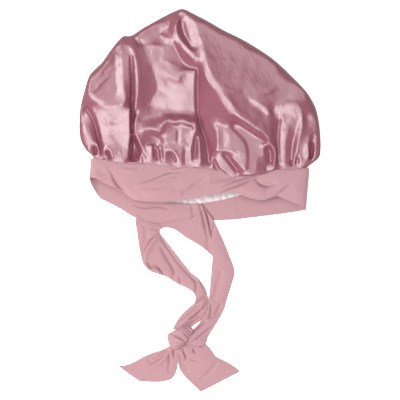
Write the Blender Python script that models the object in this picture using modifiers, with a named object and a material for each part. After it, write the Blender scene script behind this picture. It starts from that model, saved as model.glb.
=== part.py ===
# Satin sleep bonnet with a knit band, lying flat with its two ties knotted together.
# Metres, +Z up. The crown points to +Y and the ties to -Y, and the side that shows faces up.
# All tables are in millimetres, measured from the middle of the bonnet's outline on its surface.

from collections import namedtuple

import bmesh
import bpy
import numpy as np
from mathutils import Vector

mm = 0.001

# Cloth
satin_wall = 1.2
lining_wall = 1.0
knit_wall = 1.8
lowest_middle = 1.0  # a knit strip's middle surface never lies lower than this
folded_level = 10.0  # the band's creases show only where its middle surface is higher than this
piece_gap = 0.3

# Crown
crown_columns = 56  # from the left end of the mouth to the right end
crown_rows = 23  # from the near seam to the outline
crown_row_spread = 1.35  # above 1, the rows crowd towards the seam
outline_places = 60  # on each of the three parts of the outline
side_places = 200  # on each side of the crown, to pick its rows' ends from
seam_height = 16.4  # how high the near wall of the band holds the crown's seam
edge_height = 12.0  # height of the upper wall where it turns down to the floor
edge_inset = 4.0  # how far the upper wall stops inside the outline
crown_peak = 42.0
rim_reach = 72.0  # the upper wall reaches its full height this far inside the outline
rim_power = 0.9  # below 1, the upper wall rises faster behind its edge
seam_reach = 26.0  # and this far behind the near seam
crown_lean_top = 0.35  # share of the height that the crown loses from the seam to its top
crown_lean_reach = 190.0  # distance over which it loses that share
corner_drop = 3.0  # how much lower the seam's ends start, where the mouth meets the outline
corner_reach = 4.0
mouth_half_width = 136.0
mouth_fade = 12.0  # the puffs over the band fade out this far before the mouth's ends

# The rounded rim, from the upper wall's edge down to the floor
RimStep = namedtuple("RimStep", "out height")  # shares of the edge's inset and of its height
rim_steps = (RimStep(0.72, 0.80), RimStep(1.0, 0.48), RimStep(0.84, 0.16), RimStep(0.3, 0.0))

# Lining
lining_depth = 70.0  # from the far seam back into the crown
lining_side_margin = 22.0
lining_start = 1.0  # how far behind the far seam it starts
lining_back_width = 0.94  # the back edge's width as a share of the front edge's
lining_back_bow = 0.35  # and how much of the front edge's bow it keeps

# Knot
knot_centre = (-25.0, -170.5)
knot_half = (16.5, 12.3, 8.0)
knot_turn = 35.0  # degrees
knot_ridges = 3
knot_ridge_height = 0.06  # share of the half height
knot_wind = 1.8  # radians that the ridges wind from the middle to an end
knot_sunk = 0.94  # share of its half height that the knot's middle lies above the floor
knot_segments = 22
knot_rings = 12

# Each outline runs from the left end of the mouth over the top to the right end.
outline_left = ((-136, 54), (-142, 64), (-149, 79), (-150, 101), (-148, 120), (-141, 146),
                (-136, 158), (-122, 172), (-112, 186), (-101, 200))
outline_top = ((-101, 200), (-95, 205), (-85, 206), (-69, 216), (-46, 229), (-28, 237.5),
               (-20, 238.5), (-11, 234.5), (9, 224), (30, 212), (56, 199), (80, 184))
outline_right = ((80, 184), (96, 172), (110, 159), (131, 137), (141, 122), (146, 108),
                 (149, 89), (150, 65), (147, 53), (137, 41))
near_seam = ((-131, 54), (-107, 48.5), (-86, 46.5), (-56, 45.5), (-27, 41.5), (-14, 42.5),
             (12, 39), (26, 37), (40, 29.5), (46, 31), (60, 32.5), (78, 34.5), (92, 39),
             (114, 39.5), (132, 41.5))
far_seam = ((-127, 46), (-119, 32), (-102, 19.6), (-80, 10), (-56, 3), (-32, -1.2), (-13, -2.6),
            (0, -1.2), (24, 2.2), (42, 6.6), (63, 13.6), (88, 22), (112, 30.5), (128, 37))

# The crown's folds. Looking along a fold from its first point, left and right are its sides.
# A positive height is a ridge, a negative one a valley, and a sharpness of 1 makes a crest or crease.
Fold = namedtuple("Fold", "name points height left_width right_width sharpness")
crown_folds = (
    Fold("left lobe, left crest", ((-98, 199), (-101, 154), (-89, 119)), 6, 7, 5, 1.4),
    Fold("left lobe, right crest", ((-92, 201), (-77, 165), (-76, 144), (-82, 109)), 7, 6, 5, 1.4),
    Fold("left lobe, valley", ((-91, 182), (-87, 161), (-85, 110), (-82, 72)), -7, 5, 5, 1.4),
    Fold("left recess", ((-85, 80), (-77, 66), (-70, 50)), -12, 10, 9, 2),
    Fold("left middle trough", ((-69, 180), (-69, 150), (-70, 122)), -9, 8, 9, 2),
    Fold("upper left streak", ((-135, 130), (-116, 151), (-102, 163)), 4, 6, 6, 2),
    Fold("lip, outer crest", ((-31, 226), (-28, 209), (-12, 187), (-6, 172)), 6, 9, 3, 1.2),
    Fold("lip, hollow", ((-25, 222), (-16, 208), (-8, 190)), -6, 3, 4, 1.4),
    Fold("central fold", ((-6, 172), (-4, 126), (-1, 98), (7, 78), (12, 42)), -15, 6, 9, 1.2),
    Fold("diagonal crest", ((-6, 216), (2, 174), (20, 142), (43, 105), (67, 90), (88, 72)),
         13, 34, 10, 1.2),
    Fold("right end of the diagonal crest", ((80, 69), (91, 71), (94, 58), (93, 44)), 6, 4, 5, 1.4),
    Fold("middle crest", ((50, 135), (69, 122), (88, 109)), 5, 12, 6, 1.3),
    Fold("right bulge, left side", ((92, 112), (101, 96), (102, 70), (102, 46)), -8, 5, 5, 1.6),
    Fold("right bulge, right side", ((115, 119), (126, 106), (122, 80), (116, 48)), 7, 6, 5, 1.4),
    Fold("right end loop", ((134, 88), (133, 68), (134, 54)), -5, 4, 4, 1.4),
    Fold("lower left puff, left side", ((-79, 106), (-82, 88), (-73, 70), (-62, 50)), -8, 7, 6, 1.6),
    Fold("lower left puff, top", ((-76, 88), (-51, 90), (-38, 100), (-8, 98)), 6, 12, 7, 1.4),
    Fold("lower left puff, hollow above", ((-66, 112), (-40, 112), (-12, 110)), -5, 9, 9, 2),
    Fold("lower left puff, right side", ((-5, 96), (-8, 78), (-15, 50)), -8, 5, 5, 1.5),
    Fold("middle left hollow", ((-58, 162), (-38, 160), (-20, 152)), -5, 8, 9, 2),
    Fold("narrow puff", ((1, 80), (0, 62), (0, 45)), 6, 5, 5, 2),
    Fold("lower middle puff, right side", ((39, 90), (54, 76), (60, 62), (57, 38)), -9, 5, 6, 1.4),
    Fold("lower middle puff, tongue", ((24, 62), (33, 50), (42, 34)), 6, 6, 4, 1.5),
)

# Gathers along the near seam: where each dip lies, how far it runs up, and how deep it is.
Gather = namedtuple("Gather", "x length depth")
gathers = (
    Gather(-124, 22, 4), Gather(-112, 16, 4), Gather(-99, 20, 4), Gather(-66, 18, 5),
    Gather(-54, 20, 4), Gather(-40, 24, 5), Gather(-27, 14, 4), Gather(-20, 20, 4),
    Gather(-7, 18, 5), Gather(8, 24, 5), Gather(20, 14, 4), Gather(30, 18, 4), Gather(50, 12, 3),
    Gather(68, 14, 3), Gather(83, 16, 4), Gather(98, 18, 5), Gather(110, 16, 4),
    Gather(120, 14, 4), Gather(128, 14, 3),
)
gather_half_width = 3.6
gather_full_depth = 4.0  # a dip this deep draws the puffs beside it right in
gather_rim_fade = 12.0  # the dips fade out this close to the outline
gather_overhang = 3.4  # how far the puffs between the gathers stand out over the band
gather_puff_height = 7.0  # distance behind the seam, on the surface, at which they stand out most
crest_rounding = 4.0  # radius that takes the edge off every fold
fold_end = 0.02  # a fold is never closer to its end than this share, so it keeps a little height there
fold_fullness = 0.6  # below 1, a fold keeps more of its height towards its ends

# The band, from the crossing round the left fold, over the near side and back to the crossing.
# Each section has its seam edge, its hem edge, and how far its middle stands out of the line between.
Section = namedtuple("Section", "place edge_a edge_b bulge")
band_sections = (
    Section("crossing, left half", (-2, -3.2, 3.4), (-30, -36.5, 3.2), 0.0),
    Section("left half", (-14, -3.6, 3.4), (-40, -33, 3.2), 0.6),
    Section("left half", (-33, -2.2, 3.4), (-52, -30.5, 3.2), 0.6),
    Section("left half", (-56, 2, 3.2), (-68, -26, 3.1), 0.6),
    Section("left half", (-80, 9, 2.4), (-84, -19, 3.0), 0.6),
    Section("left half", (-102, 18.6, 1.4), (-102, -8, 1.3), 0.5),
    Section("left half", (-118, 29.6, 1.0), (-116, -1, 1.0), 0.4),
    Section("left fold, floor", (-127, 43.2, 1.0), (-125, 4, 1.0), 0.0),
    Section("left fold, lower", (-133, 51.0, 3.6), (-132.5, 15, 3.8), 0.0),
    Section("left fold, side", (-135.2, 52.6, 8.2), (-137, 26, 8.2), 0.0),
    Section("left fold, upper", (-134, 52.8, 12.8), (-136.3, 29, 12.6), 0.4),
    Section("near wall", (-128, 52.6, 15.4), (-130, 28, 15.0), 1.4),
    Section("near wall", (-113, 49.3, 15.6), (-115, 20.5, 14.6), 2.2),
    Section("near wall", (-98, 46.8, 15.6), (-102, 15, 14.4), 2.4),
    Section("near wall", (-86, 45.9, 15.6), (-88, 5, 14.2), 2.8),
    Section("near wall", (-72, 45.4, 15.6), (-76, 0.5, 14.2), 3.0),
    Section("near wall", (-56, 44.9, 15.6), (-57, -1, 14.2), 3.0),
    Section("near wall", (-38, 42.6, 15.6), (-39, -1, 14.2), 3.0),
    Section("near wall", (-22, 41.0, 15.6), (-22, 1, 14.4), 3.0),
    Section("near wall", (-4, 40.8, 15.6), (-3, 5, 14.6), 2.6),
    Section("near wall", (15, 38.0, 15.6), (17, 7.5, 14.8), 2.4),
    Section("near wall", (30, 33.6, 15.6), (33, 10.5, 15.0), 2.0),
    Section("near wall", (43, 29.2, 15.6), (45, 10, 15.0), 2.0),
    Section("near wall", (60, 31.9, 15.6), (62, 4, 14.6), 2.6),
    Section("near wall", (78, 33.9, 15.6), (79, 1.5, 14.4), 2.8),
    Section("near wall", (94, 38.6, 15.6), (95, 6, 14.4), 2.8),
    Section("near wall", (112, 38.9, 15.6), (110, 0.5, 14.2), 2.6),
    Section("near wall", (128, 40.4, 15.4), (123, -5, 14.4), 1.4),
    Section("right fold, upper", (134.4, 40.6, 12.8), (129.8, -8.4, 12.6), 0.4),
    Section("right fold, side", (135.7, 40.0, 8.2), (131.5, -10.4, 8.0), 0.0),
    Section("right fold, lower", (133.6, 38.6, 3.6), (129.6, -11.6, 3.6), 0.0),
    Section("right fold, floor", (128, 35.6, 1.0), (123, -12.8, 1.0), 0.0),
    Section("right half", (112, 29.4, 1.0), (110, -14.8, 1.0), 0.4),
    Section("right half", (88, 21.0, 1.0), (90, -17.6, 1.0), 0.5),
    Section("right half", (63, 12.6, 1.0), (68, -20.2, 1.0), 0.5),
    Section("right half", (42, 5.6, 1.0), (45, -23, 1.0), 0.3),
    Section("right half", (24, 1.2, 1.0), (27, -24, 1.0), 0.0),
    Section("crossing, right half", (9, -1.4, 1.0), (14, -24.4, 1.0), 0.0),
)
band_folds = (
    Fold("near wall, left crease", ((-110, 34), (-98, 18), (-84, 4)), -3, 4, 4, 1.4),
    Fold("near wall, middle crease", ((-73, 19), (-48, 27), (-25, 34)), -2.4, 4, 5, 1.4),
    Fold("near wall, second crease", ((-60, 20), (-45, 25), (-30, 29)), 1.6, 3, 3, 1.6),
    Fold("near wall, right crease", ((28, 12), (58, 24), (67, 26), (80, 18), (95, 22)), -2.4, 4, 4, 1.4),
    Fold("near wall, right ridge", ((22, 18), (50, 28), (79, 34)), 1.8, 4, 4, 1.6),
    Fold("near wall, corner crease", ((92, 8), (104, 14), (112, 22)), -2.6, 4, 4, 1.4),
)
tie_right_sections = (
    Section("crossing", (-29.2, -37.4, 3.2), (-1.4, -3.8, 3.4), 0.0),
    Section("over the right half", (-18, -45, 3.3), (6, -8, 3.6), 0.8),
    Section("over the right half", (-8, -51, 3.2), (12, -17, 3.6), 1.0),
    Section("past the band", (2, -57, 2.6), (17, -24, 3.4), 1.2),
    Section("run", (10, -64, 1.8), (22, -35, 2.6), 1.6),
    Section("run", (15, -71, 1.2), (29, -50, 1.8), 1.6),
    Section("run", (15, -80, 1.0), (36, -67, 1.4), 1.6),
    Section("widest", (14, -90, 1.0), (43, -88, 1.4), 1.6),
    Section("run", (13, -102, 1.2), (39.5, -103, 1.6), 1.6),
    Section("run", (12, -114, 1.4), (36, -115, 2.0), 1.6),
    Section("run", (11.6, -124, 1.6), (32.5, -126, 2.2), 1.4),
    Section("run", (11, -134, 2.0), (30, -135, 2.2), 1.2),
    Section("turn", (7.5, -142, 2.8), (26, -143, 2.0), 1.0),
    Section("to the knot", (0, -152, 3.4), (20, -153, 2.0), 1.4),
    Section("to the knot", (-5.5, -159, 4.0), (14.5, -162, 2.0), 1.6),
    Section("to the knot", (-8.4, -166, 4.6), (9.5, -170, 2.2), 1.6),
    Section("roll", (-11.4, -175, 4.6), (7.5, -176.5, 2.6), 1.0),
    Section("roll", (-16, -182.2, 3.6), (2, -181.5, 2.6), 0.4),
)
tie_left_sections = (
    Section("crossing", (8.2, -1.8, 1.0), (13.2, -25, 1.0), 0.0),
    Section("under the left half", (-16, -5.4, 1.0), (-10, -30, 1.0), 0.0),
    Section("under the left half", (-40, -6, 1.0), (-32, -33, 1.0), 0.0),
    Section("turn", (-60, -6.5, 1.0), (-43, -33, 1.0), 0.0),
    Section("turn", (-74, -12, 1.0), (-46.5, -34, 1.0), 0.0),
    Section("out of the band", (-80.6, -24, 1.0), (-49, -37, 1.0), 0.0),
    Section("run", (-79, -36, 1.2), (-49, -42, 2.6), 1.4),
    Section("run", (-77, -50, 1.4), (-43, -49, 2.6), 2.0),
    Section("run", (-75, -63, 1.6), (-36.5, -58, 2.0), 2.2),
    Section("run", (-70.5, -78, 1.8), (-30, -66, 1.8), 2.4),
    Section("run", (-62, -87, 2.0), (-24, -74, 1.6), 2.4),
    Section("run", (-51, -91, 2.0), (-17.5, -82, 1.6), 2.2),
    Section("run", (-40, -95.5, 2.0), (-11.5, -89.5, 1.6), 2.0),
    Section("run", (-29, -102.5, 2.0), (-4.5, -95, 1.6), 2.0),
    Section("run", (-18, -107.5, 2.0), (2, -103, 1.6), 1.8),
    Section("run", (-9, -113.5, 2.2), (7, -111, 1.6), 1.6),
    Section("twist", (-5.5, -120, 3.0), (9.4, -119, 1.6), 1.4),
    Section("twist", (-7, -127.5, 3.2), (9.6, -128, 1.6), 1.6),
    Section("to the knot", (-13.5, -133, 2.6), (7.6, -137, 1.8), 2.0),
    Section("to the knot", (-20.5, -139.5, 2.6), (2.5, -145, 2.2), 2.2),
    Section("to the knot", (-27, -147, 3.2), (-4.5, -151, 2.8), 2.2),
    Section("to the knot", (-33, -157.4, 5.0), (-12.5, -156.6, 5.0), 1.0),
)
tail_left_sections = (
    Section("knot", (-39, -181.7, 5.2), (-29.8, -185.3, 5.2), 0.4),
    Section("run", (-46, -185.6, 3.4), (-29, -194, 3.0), 1.2),
    Section("run", (-58, -189.5, 1.6), (-29.5, -204, 1.8), 1.8),
    Section("run", (-70, -194.5, 1.2), (-31, -213, 1.4), 1.8),
    Section("run", (-82, -201, 1.0), (-38, -222, 1.2), 1.6),
    Section("run", (-92, -205, 1.0), (-54, -226, 1.0), 1.0),
    Section("cut end", (-102.5, -206, 1.0), (-76, -225, 1.0), 0.4),
)
tail_right_sections = (
    Section("knot", (-27.4, -184.8, 4.0), (5.5, -182.3, 2.4), 0.4),
    Section("run", (-27.4, -193, 2.8), (13, -188, 1.6), 1.6),
    Section("run", (-27.2, -201, 2.0), (19.5, -194, 1.4), 2.0),
    Section("run", (-25.6, -209, 1.4), (27, -198, 1.2), 2.0),
    Section("run", (-20, -218, 1.0), (36, -202.5, 1.2), 1.8),
    Section("run", (-10, -228, 1.0), (45, -208.5, 1.0), 1.2),
    Section("cut end", (1.0, -238.4, 1.0), (50, -213, 1.0), 0.4),
)

# The knit strips, and how many faces each has along and across it
Strip = namedtuple("Strip", "name sections folds along across")
strips = (
    Strip("band", band_sections, band_folds, 72, 6),
    Strip("tie_right", tie_right_sections, (), 30, 4),
    Strip("tie_left", tie_left_sections, (), 34, 4),
    Strip("tail_left", tail_left_sections, (), 9, 6),
    Strip("tail_right", tail_right_sections, (), 9, 6),
)

# Colours and finishes, as read from the photo, in linear values
satin_look = dict(name="rose satin", colour=(0.47, 0.23, 0.28), roughness=0.32, metallic=0.15)
lining_look = dict(name="pale satin", colour=(0.88, 0.80, 0.82), roughness=0.40, metallic=0.0)
knit_look = dict(name="rose knit", colour=(0.62, 0.36, 0.40), roughness=0.90, metallic=0.0)


def smooth_curve(points, count):
    """Evenly spaced places on a smooth curve through the points, which may have 2 or 3 values each."""
    points = np.array(points, float)
    before = np.vstack([2 * points[0] - points[1], points[:-1]])
    after = np.vstack([points[1:], 2 * points[-1] - points[-2]])
    tangents = (after - before) / 2
    dense = []
    for i in range(len(points) - 1):
        t = np.linspace(0, 1, 24, endpoint=False)[:, None]
        dense.append((2 * t**3 - 3 * t**2 + 1) * points[i] + (t**3 - 2 * t**2 + t) * tangents[i]
                     + (3 * t**2 - 2 * t**3) * points[i + 1] + (t**3 - t**2) * tangents[i + 1])
    dense = np.vstack(dense + [points[-1:]])
    walked = np.concatenate([[0], np.cumsum(np.linalg.norm(np.diff(dense, axis=0), axis=1))])
    wanted = np.linspace(0, walked[-1], count)
    return np.stack([np.interp(wanted, walked, dense[:, k]) for k in range(points.shape[1])], axis=1)


def nearest_on(line, places):
    """Each place's distance from the line, its side (+1 left, -1 right) and its share of the way along."""
    starts = line[:-1, :2]
    steps = line[1:, :2] - starts
    lengths = np.maximum((steps**2).sum(axis=1), 1e-9)
    offsets = places[:, None, :] - starts[None]
    share = np.clip((offsets * steps[None]).sum(axis=2) / lengths, 0, 1)
    across = offsets - share[..., None] * steps[None]
    distance = np.linalg.norm(across, axis=2)
    best = distance.argmin(axis=1)
    rows = np.arange(len(places))
    side = np.sign(steps[best, 0] * offsets[rows, best, 1] - steps[best, 1] * offsets[rows, best, 0])
    along = (best + share[rows, best]) / len(steps)
    return distance[rows, best], side, along


def fold_heights(folds, places):
    """The sum of what all folds add at each place. Each fades towards both of its ends."""
    total = np.zeros(len(places))
    for fold in folds:
        distance, side, along = nearest_on(smooth_curve(fold.points, 20), places)
        width = np.where(side > 0, fold.left_width, fold.right_width)
        fade = np.sin(np.pi * np.clip(along, fold_end, 1 - fold_end)) ** fold_fullness
        distance = np.hypot(distance, crest_rounding) - crest_rounding
        total += fold.height * fade * np.exp(-((distance / width) ** fold.sharpness))
    return total


def quarter_round(distance, reach):
    """0 at the edge, rising steeply at first, and 1 from the reach on."""
    left = 1 - np.clip(distance / reach, 0, 1)
    return np.sqrt(1 - left**2)


def inset(line, amount):
    """The line moved to its right side, which is the inside of a clockwise outline."""
    along = np.gradient(line, axis=0)
    along /= np.linalg.norm(along, axis=1)[:, None]
    return line + amount * np.stack([along[:, 1], -along[:, 0]], axis=1)


def crown_places(columns, rows):
    """The upper wall's grid: columns run from the near seam to the outline, rows from left to right."""
    parts = (outline_left, outline_top[1:], outline_right[1:])
    whole = inset(np.vstack([smooth_curve(part, outline_places) for part in parts]), edge_inset)
    seam = smooth_curve(near_seam, columns + 1)
    whole[0] = seam[0]
    whole[-1] = seam[-1]
    rise = np.linspace(0, 1, rows + 1) ** crown_row_spread
    left_end, right_end = outline_places, 2 * outline_places
    picked = np.round(rise * (side_places - 1)).astype(int)
    left = smooth_curve(whole[:left_end:4], side_places)[picked]
    right = smooth_curve(whole[right_end:][::-4], side_places)[picked]
    top = smooth_curve(np.vstack([left[-1:], whole[left_end:right_end:4], right[-1:]]), columns + 1)
    s = np.linspace(0, 1, columns + 1)[:, None, None]
    t = rise[None, :, None]
    corners = (1 - s) * (1 - t) * seam[0] + s * (1 - t) * seam[-1] + (1 - s) * t * top[0] + s * t * top[-1]
    return (1 - t) * seam[:, None] + t * top[:, None] + (1 - s) * left[None] + s * right[None] - corners


def gather_dips(places, from_seam):
    """How deep the gathers cut in at each place."""
    return sum(gather.depth * np.exp(-(((places[:, 0] - gather.x) / gather_half_width) ** 2)
                                     - from_seam / gather.length) for gather in gathers)


def puffed_out(places):
    """The places moved towards the band where the puffs between the gathers overhang it."""
    from_seam, _, _ = nearest_on(smooth_curve(near_seam, 60), places)
    share = from_seam / gather_puff_height * np.exp(1 - from_seam / gather_puff_height)
    inside = np.clip((mouth_half_width - np.abs(places[:, 0])) / mouth_fade, 0, 1)
    drawn_in = np.clip(gather_dips(places, from_seam) / gather_full_depth, 0, 1)
    return places - np.outer(gather_overhang * share * inside * (1 - drawn_in), (0, 1))


def crown_height(places):
    """Height of the crown's upper wall at each place."""
    outline = np.vstack([smooth_curve(part, 40) for part in (outline_left, outline_top, outline_right)])
    from_seam, _, _ = nearest_on(smooth_curve(near_seam, 60), places)
    from_rim = np.maximum(nearest_on(outline, places)[0] - edge_inset, 0)
    peak = crown_peak * (1 - crown_lean_top * np.clip(from_seam / crown_lean_reach, 0, 1))
    rim = quarter_round(from_rim, rim_reach) ** rim_power
    height = edge_height + (peak - edge_height) * rim + fold_heights(crown_folds, places) * rim
    height -= gather_dips(places, from_seam) * np.clip(from_rim / gather_rim_fade, 0, 1)
    start = seam_height - corner_drop * np.exp(-from_rim / corner_reach) * (from_seam > 1)
    return start + (height - start) * quarter_round(from_seam, seam_reach)


def material_for(look):
    material = bpy.data.materials.get(look["name"]) or bpy.data.materials.new(look["name"])
    material.use_nodes = True
    shader = material.node_tree.nodes["Principled BSDF"]
    shader.inputs["Base Color"].default_value = (*look["colour"], 1)
    shader.inputs["Roughness"].default_value = look["roughness"]
    shader.inputs["Metallic"].default_value = look["metallic"]
    material.diffuse_color = (*look["colour"], 1)
    return material


def object_from(name, bm, look, collection):
    bmesh.ops.recalc_face_normals(bm, faces=bm.faces)
    mesh = bpy.data.meshes.new(name)
    bm.to_mesh(mesh)
    bm.free()
    mesh.shade_smooth()
    mesh.materials.append(material_for(look))
    piece = bpy.data.objects.new(name, mesh)
    collection.objects.link(piece)
    return piece


def thicken(piece, wall, offset):
    solidify = piece.modifiers.new("wall", "SOLIDIFY")
    solidify.thickness = wall * mm
    solidify.offset = offset
    solidify.use_even_offset = False
    return piece


def sheet_grid(bm, points):
    """A grid primitive whose corners are moved to the points, which are columns by rows by 3, in mm."""
    columns, rows = points.shape[0] - 1, points.shape[1] - 1
    made = bmesh.ops.create_grid(bm, x_segments=columns, y_segments=rows, size=0.5)["verts"]
    grid = [[None] * (rows + 1) for _ in range(columns + 1)]
    for vertex in made:
        i = round((vertex.co.x + 0.5) * columns)
        j = round((vertex.co.y + 0.5) * rows)
        grid[i][j] = vertex
        vertex.co = Vector(points[i, j]) * mm
    return grid


def make_crown(collection):
    """Upper wall, rounded rim and flat floor wall, open at the mouth between the near and the far seam."""
    plan = crown_places(crown_columns, crown_rows)
    flat = plan.reshape(-1, 2)
    heights = crown_height(flat).reshape(plan.shape[:2])
    plan = puffed_out(flat).reshape(plan.shape)
    bm = bmesh.new()
    grid = sheet_grid(bm, np.dstack([plan, heights]))
    rim = grid[0] + [column[-1] for column in grid[1:-1]] + grid[-1][::-1]
    line = np.array([vertex.co[:] for vertex in rim]) / mm
    outward = np.gradient(line[:, :2], axis=0)
    outward = np.stack([-outward[:, 1], outward[:, 0]], axis=1)
    outward /= np.linalg.norm(outward, axis=1)[:, None]
    outward[0], outward[-1] = (-1, 0), (1, 0)
    for step in rim_steps:
        lower = np.column_stack([line[:, :2] + outward * edge_inset * step.out, line[:, 2] * step.height])
        ring = [bm.verts.new(Vector(place) * mm) for place in lower]
        for k in range(len(rim) - 1):
            bm.faces.new((rim[k], rim[k + 1], ring[k + 1], ring[k]))
        rim = ring
    front = [bm.verts.new(Vector((x, y, 0)) * mm) for x, y in smooth_curve(far_seam, 40)]
    bm.faces.new(rim + front[::-1])
    return thicken(object_from("crown", bm, satin_look, collection), satin_wall, -1)


def strip_points(strip):
    """The middle surface of a cloth strip through its sections, along by across by 3."""
    rows = np.array([(*section.edge_a, *section.edge_b, section.bulge) for section in strip.sections])
    rows = smooth_curve(rows, strip.along + 1)
    share = np.linspace(0, 1, strip.across + 1)[None, :, None]
    points = rows[:, None, :3] * (1 - share) + rows[:, None, 3:6] * share
    points[..., 2] += rows[:, None, 6] * 4 * share[..., 0] * (1 - share[..., 0])
    added = fold_heights(strip.folds, points[..., :2].reshape(-1, 2)).reshape(points.shape[:2])
    points[..., 2] += np.where(points[..., 2] > folded_level, added, 0)
    points[..., 2] = np.maximum(points[..., 2], lowest_middle)
    return points


def make_strip(strip, collection):
    bm = bmesh.new()
    sheet_grid(bm, strip_points(strip))
    return thicken(object_from(strip.name, bm, knit_look, collection), knit_wall, 0)


def make_lining(collection):
    """A flat sheet on the inside of the floor wall, from the far seam to well behind the mouth."""
    front = smooth_curve(far_seam, 60)
    from_left = front[:, 0] - far_seam[0][0]
    from_right = far_seam[-1][0] - front[:, 0]
    front = front[np.minimum(from_left, from_right) > lining_side_margin]
    front = smooth_curve(front[::4], 15)
    back = np.stack([front[:, 0] * lining_back_width, lining_back_bow * front[:, 1] + lining_depth], axis=1)
    share = np.linspace(0, 1, 5)[None, :, None]
    points = (front + [0, lining_start])[:, None] * (1 - share) + back[:, None] * share
    level = satin_wall + piece_gap + lining_wall / 2
    bm = bmesh.new()
    sheet_grid(bm, np.dstack([points, np.full(points.shape[:2], level)]))
    return thicken(object_from("lining", bm, lining_look, collection), lining_wall, 0)


def make_knot(collection):
    """A lump of wound cloth: a sphere drawn out, flattened below, with ridges wound round its long axis."""
    bm = bmesh.new()
    bmesh.ops.create_uvsphere(bm, u_segments=knot_segments, v_segments=knot_rings, radius=1)
    turn = np.radians(knot_turn)
    for vertex in bm.verts:
        x, y, z = vertex.co
        wind = np.arctan2(z, y) + knot_wind * x
        swell = 1 + knot_ridge_height * np.cos(knot_ridges * wind) * (1 - x * x)
        x, y, z = x * knot_half[0], y * knot_half[1] * swell, z * knot_half[2] * swell
        vertex.co = Vector((knot_centre[0] + x * np.cos(turn) - y * np.sin(turn),
                            knot_centre[1] + x * np.sin(turn) + y * np.cos(turn),
                            max(knot_half[2] * knot_sunk + z, 0))) * mm
    return object_from("knot", bm, knit_look, collection)


def clear_scene():
    for old in list(bpy.data.objects):
        bpy.data.objects.remove(old, do_unlink=True)


clear_scene()
bonnet = bpy.data.collections.new("sleep bonnet")
bpy.context.scene.collection.children.link(bonnet)
make_crown(bonnet)
make_lining(bonnet)
make_knot(bonnet)
for strip in strips:
    make_strip(strip, bonnet)
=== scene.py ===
# Sleep bonnet lying flat: satin crown, knit band, two ties knotted together.
import math

import bpy
import numpy as np
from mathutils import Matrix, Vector


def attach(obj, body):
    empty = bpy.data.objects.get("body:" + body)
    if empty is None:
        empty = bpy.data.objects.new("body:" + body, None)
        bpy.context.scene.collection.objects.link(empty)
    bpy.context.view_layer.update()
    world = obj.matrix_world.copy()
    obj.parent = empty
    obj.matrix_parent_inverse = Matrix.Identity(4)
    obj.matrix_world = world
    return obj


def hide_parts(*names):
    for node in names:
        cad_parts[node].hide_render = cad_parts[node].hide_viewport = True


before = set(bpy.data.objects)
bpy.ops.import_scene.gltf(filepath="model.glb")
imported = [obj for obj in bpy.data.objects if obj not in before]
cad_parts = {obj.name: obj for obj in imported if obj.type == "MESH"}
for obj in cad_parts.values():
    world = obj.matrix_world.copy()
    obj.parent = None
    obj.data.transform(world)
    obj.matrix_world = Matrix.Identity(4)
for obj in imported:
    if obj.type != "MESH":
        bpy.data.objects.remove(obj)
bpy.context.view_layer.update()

mm = 0.001  # the shapes are in mm, and the materials, the studio and the cloth facts in metres
home = bpy.data.collections.new("bonnet")
bpy.context.scene.collection.children.link(home)

picturePoint = 1.25  # mm for each point of the photograph
pictureCentre = (200, 201)  # the point of the photograph that lies at the origin
foldForm = {
    "places": 24,
    "reach": 3.2,  # in widths
    "fullness": 0.7,
    "ends": 14,  # the higher, the blunter
}

# Noise: seed, count of waves, shortest and longest in mm, slant and spread of their directions in degrees
noises = {
    "crown waves": (11, 30, 7, 26, 60, 40),
    "crown crinkles": (23, 40, 2.6, 6, 40, 60),
    "rim": (17, 16, 18, 70, 0, 5),
    "turn": (31, 14, 16, 60, 0, 90),
    "knit": (3, 20, 5, 22, 0, 60),
    "lining": (5, 18, 4, 10, 35, 40),
}


# curves, folds and meshes

def pictured(places):  # points u and v of the photograph where these places show
    return places[:, :2] / (picturePoint, -picturePoint) + pictureCentre


def placed(points):  # the places that these points of the photograph show
    return (points[:, :2] - pictureCentre) * (picturePoint, -picturePoint)


def smoothCurve(points, count, perSpan=40):  # evenly spaced places on a smooth curve through the points
    points = np.array(points, float)
    before = np.vstack([2 * points[0] - points[1], points[:-1]])
    after = np.vstack([points[1:], 2 * points[-1] - points[-2]])
    tangents = (after - before) / 2
    dense = []
    for i in range(len(points) - 1):
        t = np.linspace(0, 1, perSpan, endpoint=False)[:, None]
        dense.append((2 * t**3 - 3 * t**2 + 1) * points[i] + (t**3 - 2 * t**2 + t) * tangents[i]
                     + (3 * t**2 - 2 * t**3) * points[i + 1] + (t**3 - t**2) * tangents[i + 1])
    dense = np.vstack(dense + [points[-1:]])
    walked = np.concatenate([[0], np.cumsum(np.linalg.norm(np.diff(dense, axis=0), axis=1))])
    wanted = np.linspace(0, walked[-1], count)
    return np.stack([np.interp(wanted, walked, dense[:, k]) for k in range(points.shape[1])], axis=1)


def nearestOn(line, places):  # distance from the line, side of it and share along it
    starts = line[:-1, :2]
    steps = line[1:, :2] - starts
    lengths = np.maximum((steps**2).sum(axis=1), 1e-9)
    best = np.full(len(places), 1e18)
    nearest = np.zeros(len(places), int)
    share = np.zeros(len(places))
    for k in range(len(steps)):
        offset = places - starts[k]
        s = np.clip((offset @ steps[k]) / lengths[k], 0, 1)
        d = ((offset - s[:, None] * steps[k])**2).sum(axis=1)
        closer = d < best
        best[closer] = d[closer]
        nearest[closer] = k
        share[closer] = s[closer]
    along = steps[nearest] / np.sqrt(lengths[nearest])[:, None]
    left = np.stack([-along[:, 1], along[:, 0]], axis=1)
    foot = starts[nearest] + share[:, None] * steps[nearest]
    side = np.sign(((places - foot) * left).sum(axis=1))
    return np.sqrt(best), side, (nearest + share) / len(steps)


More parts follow.
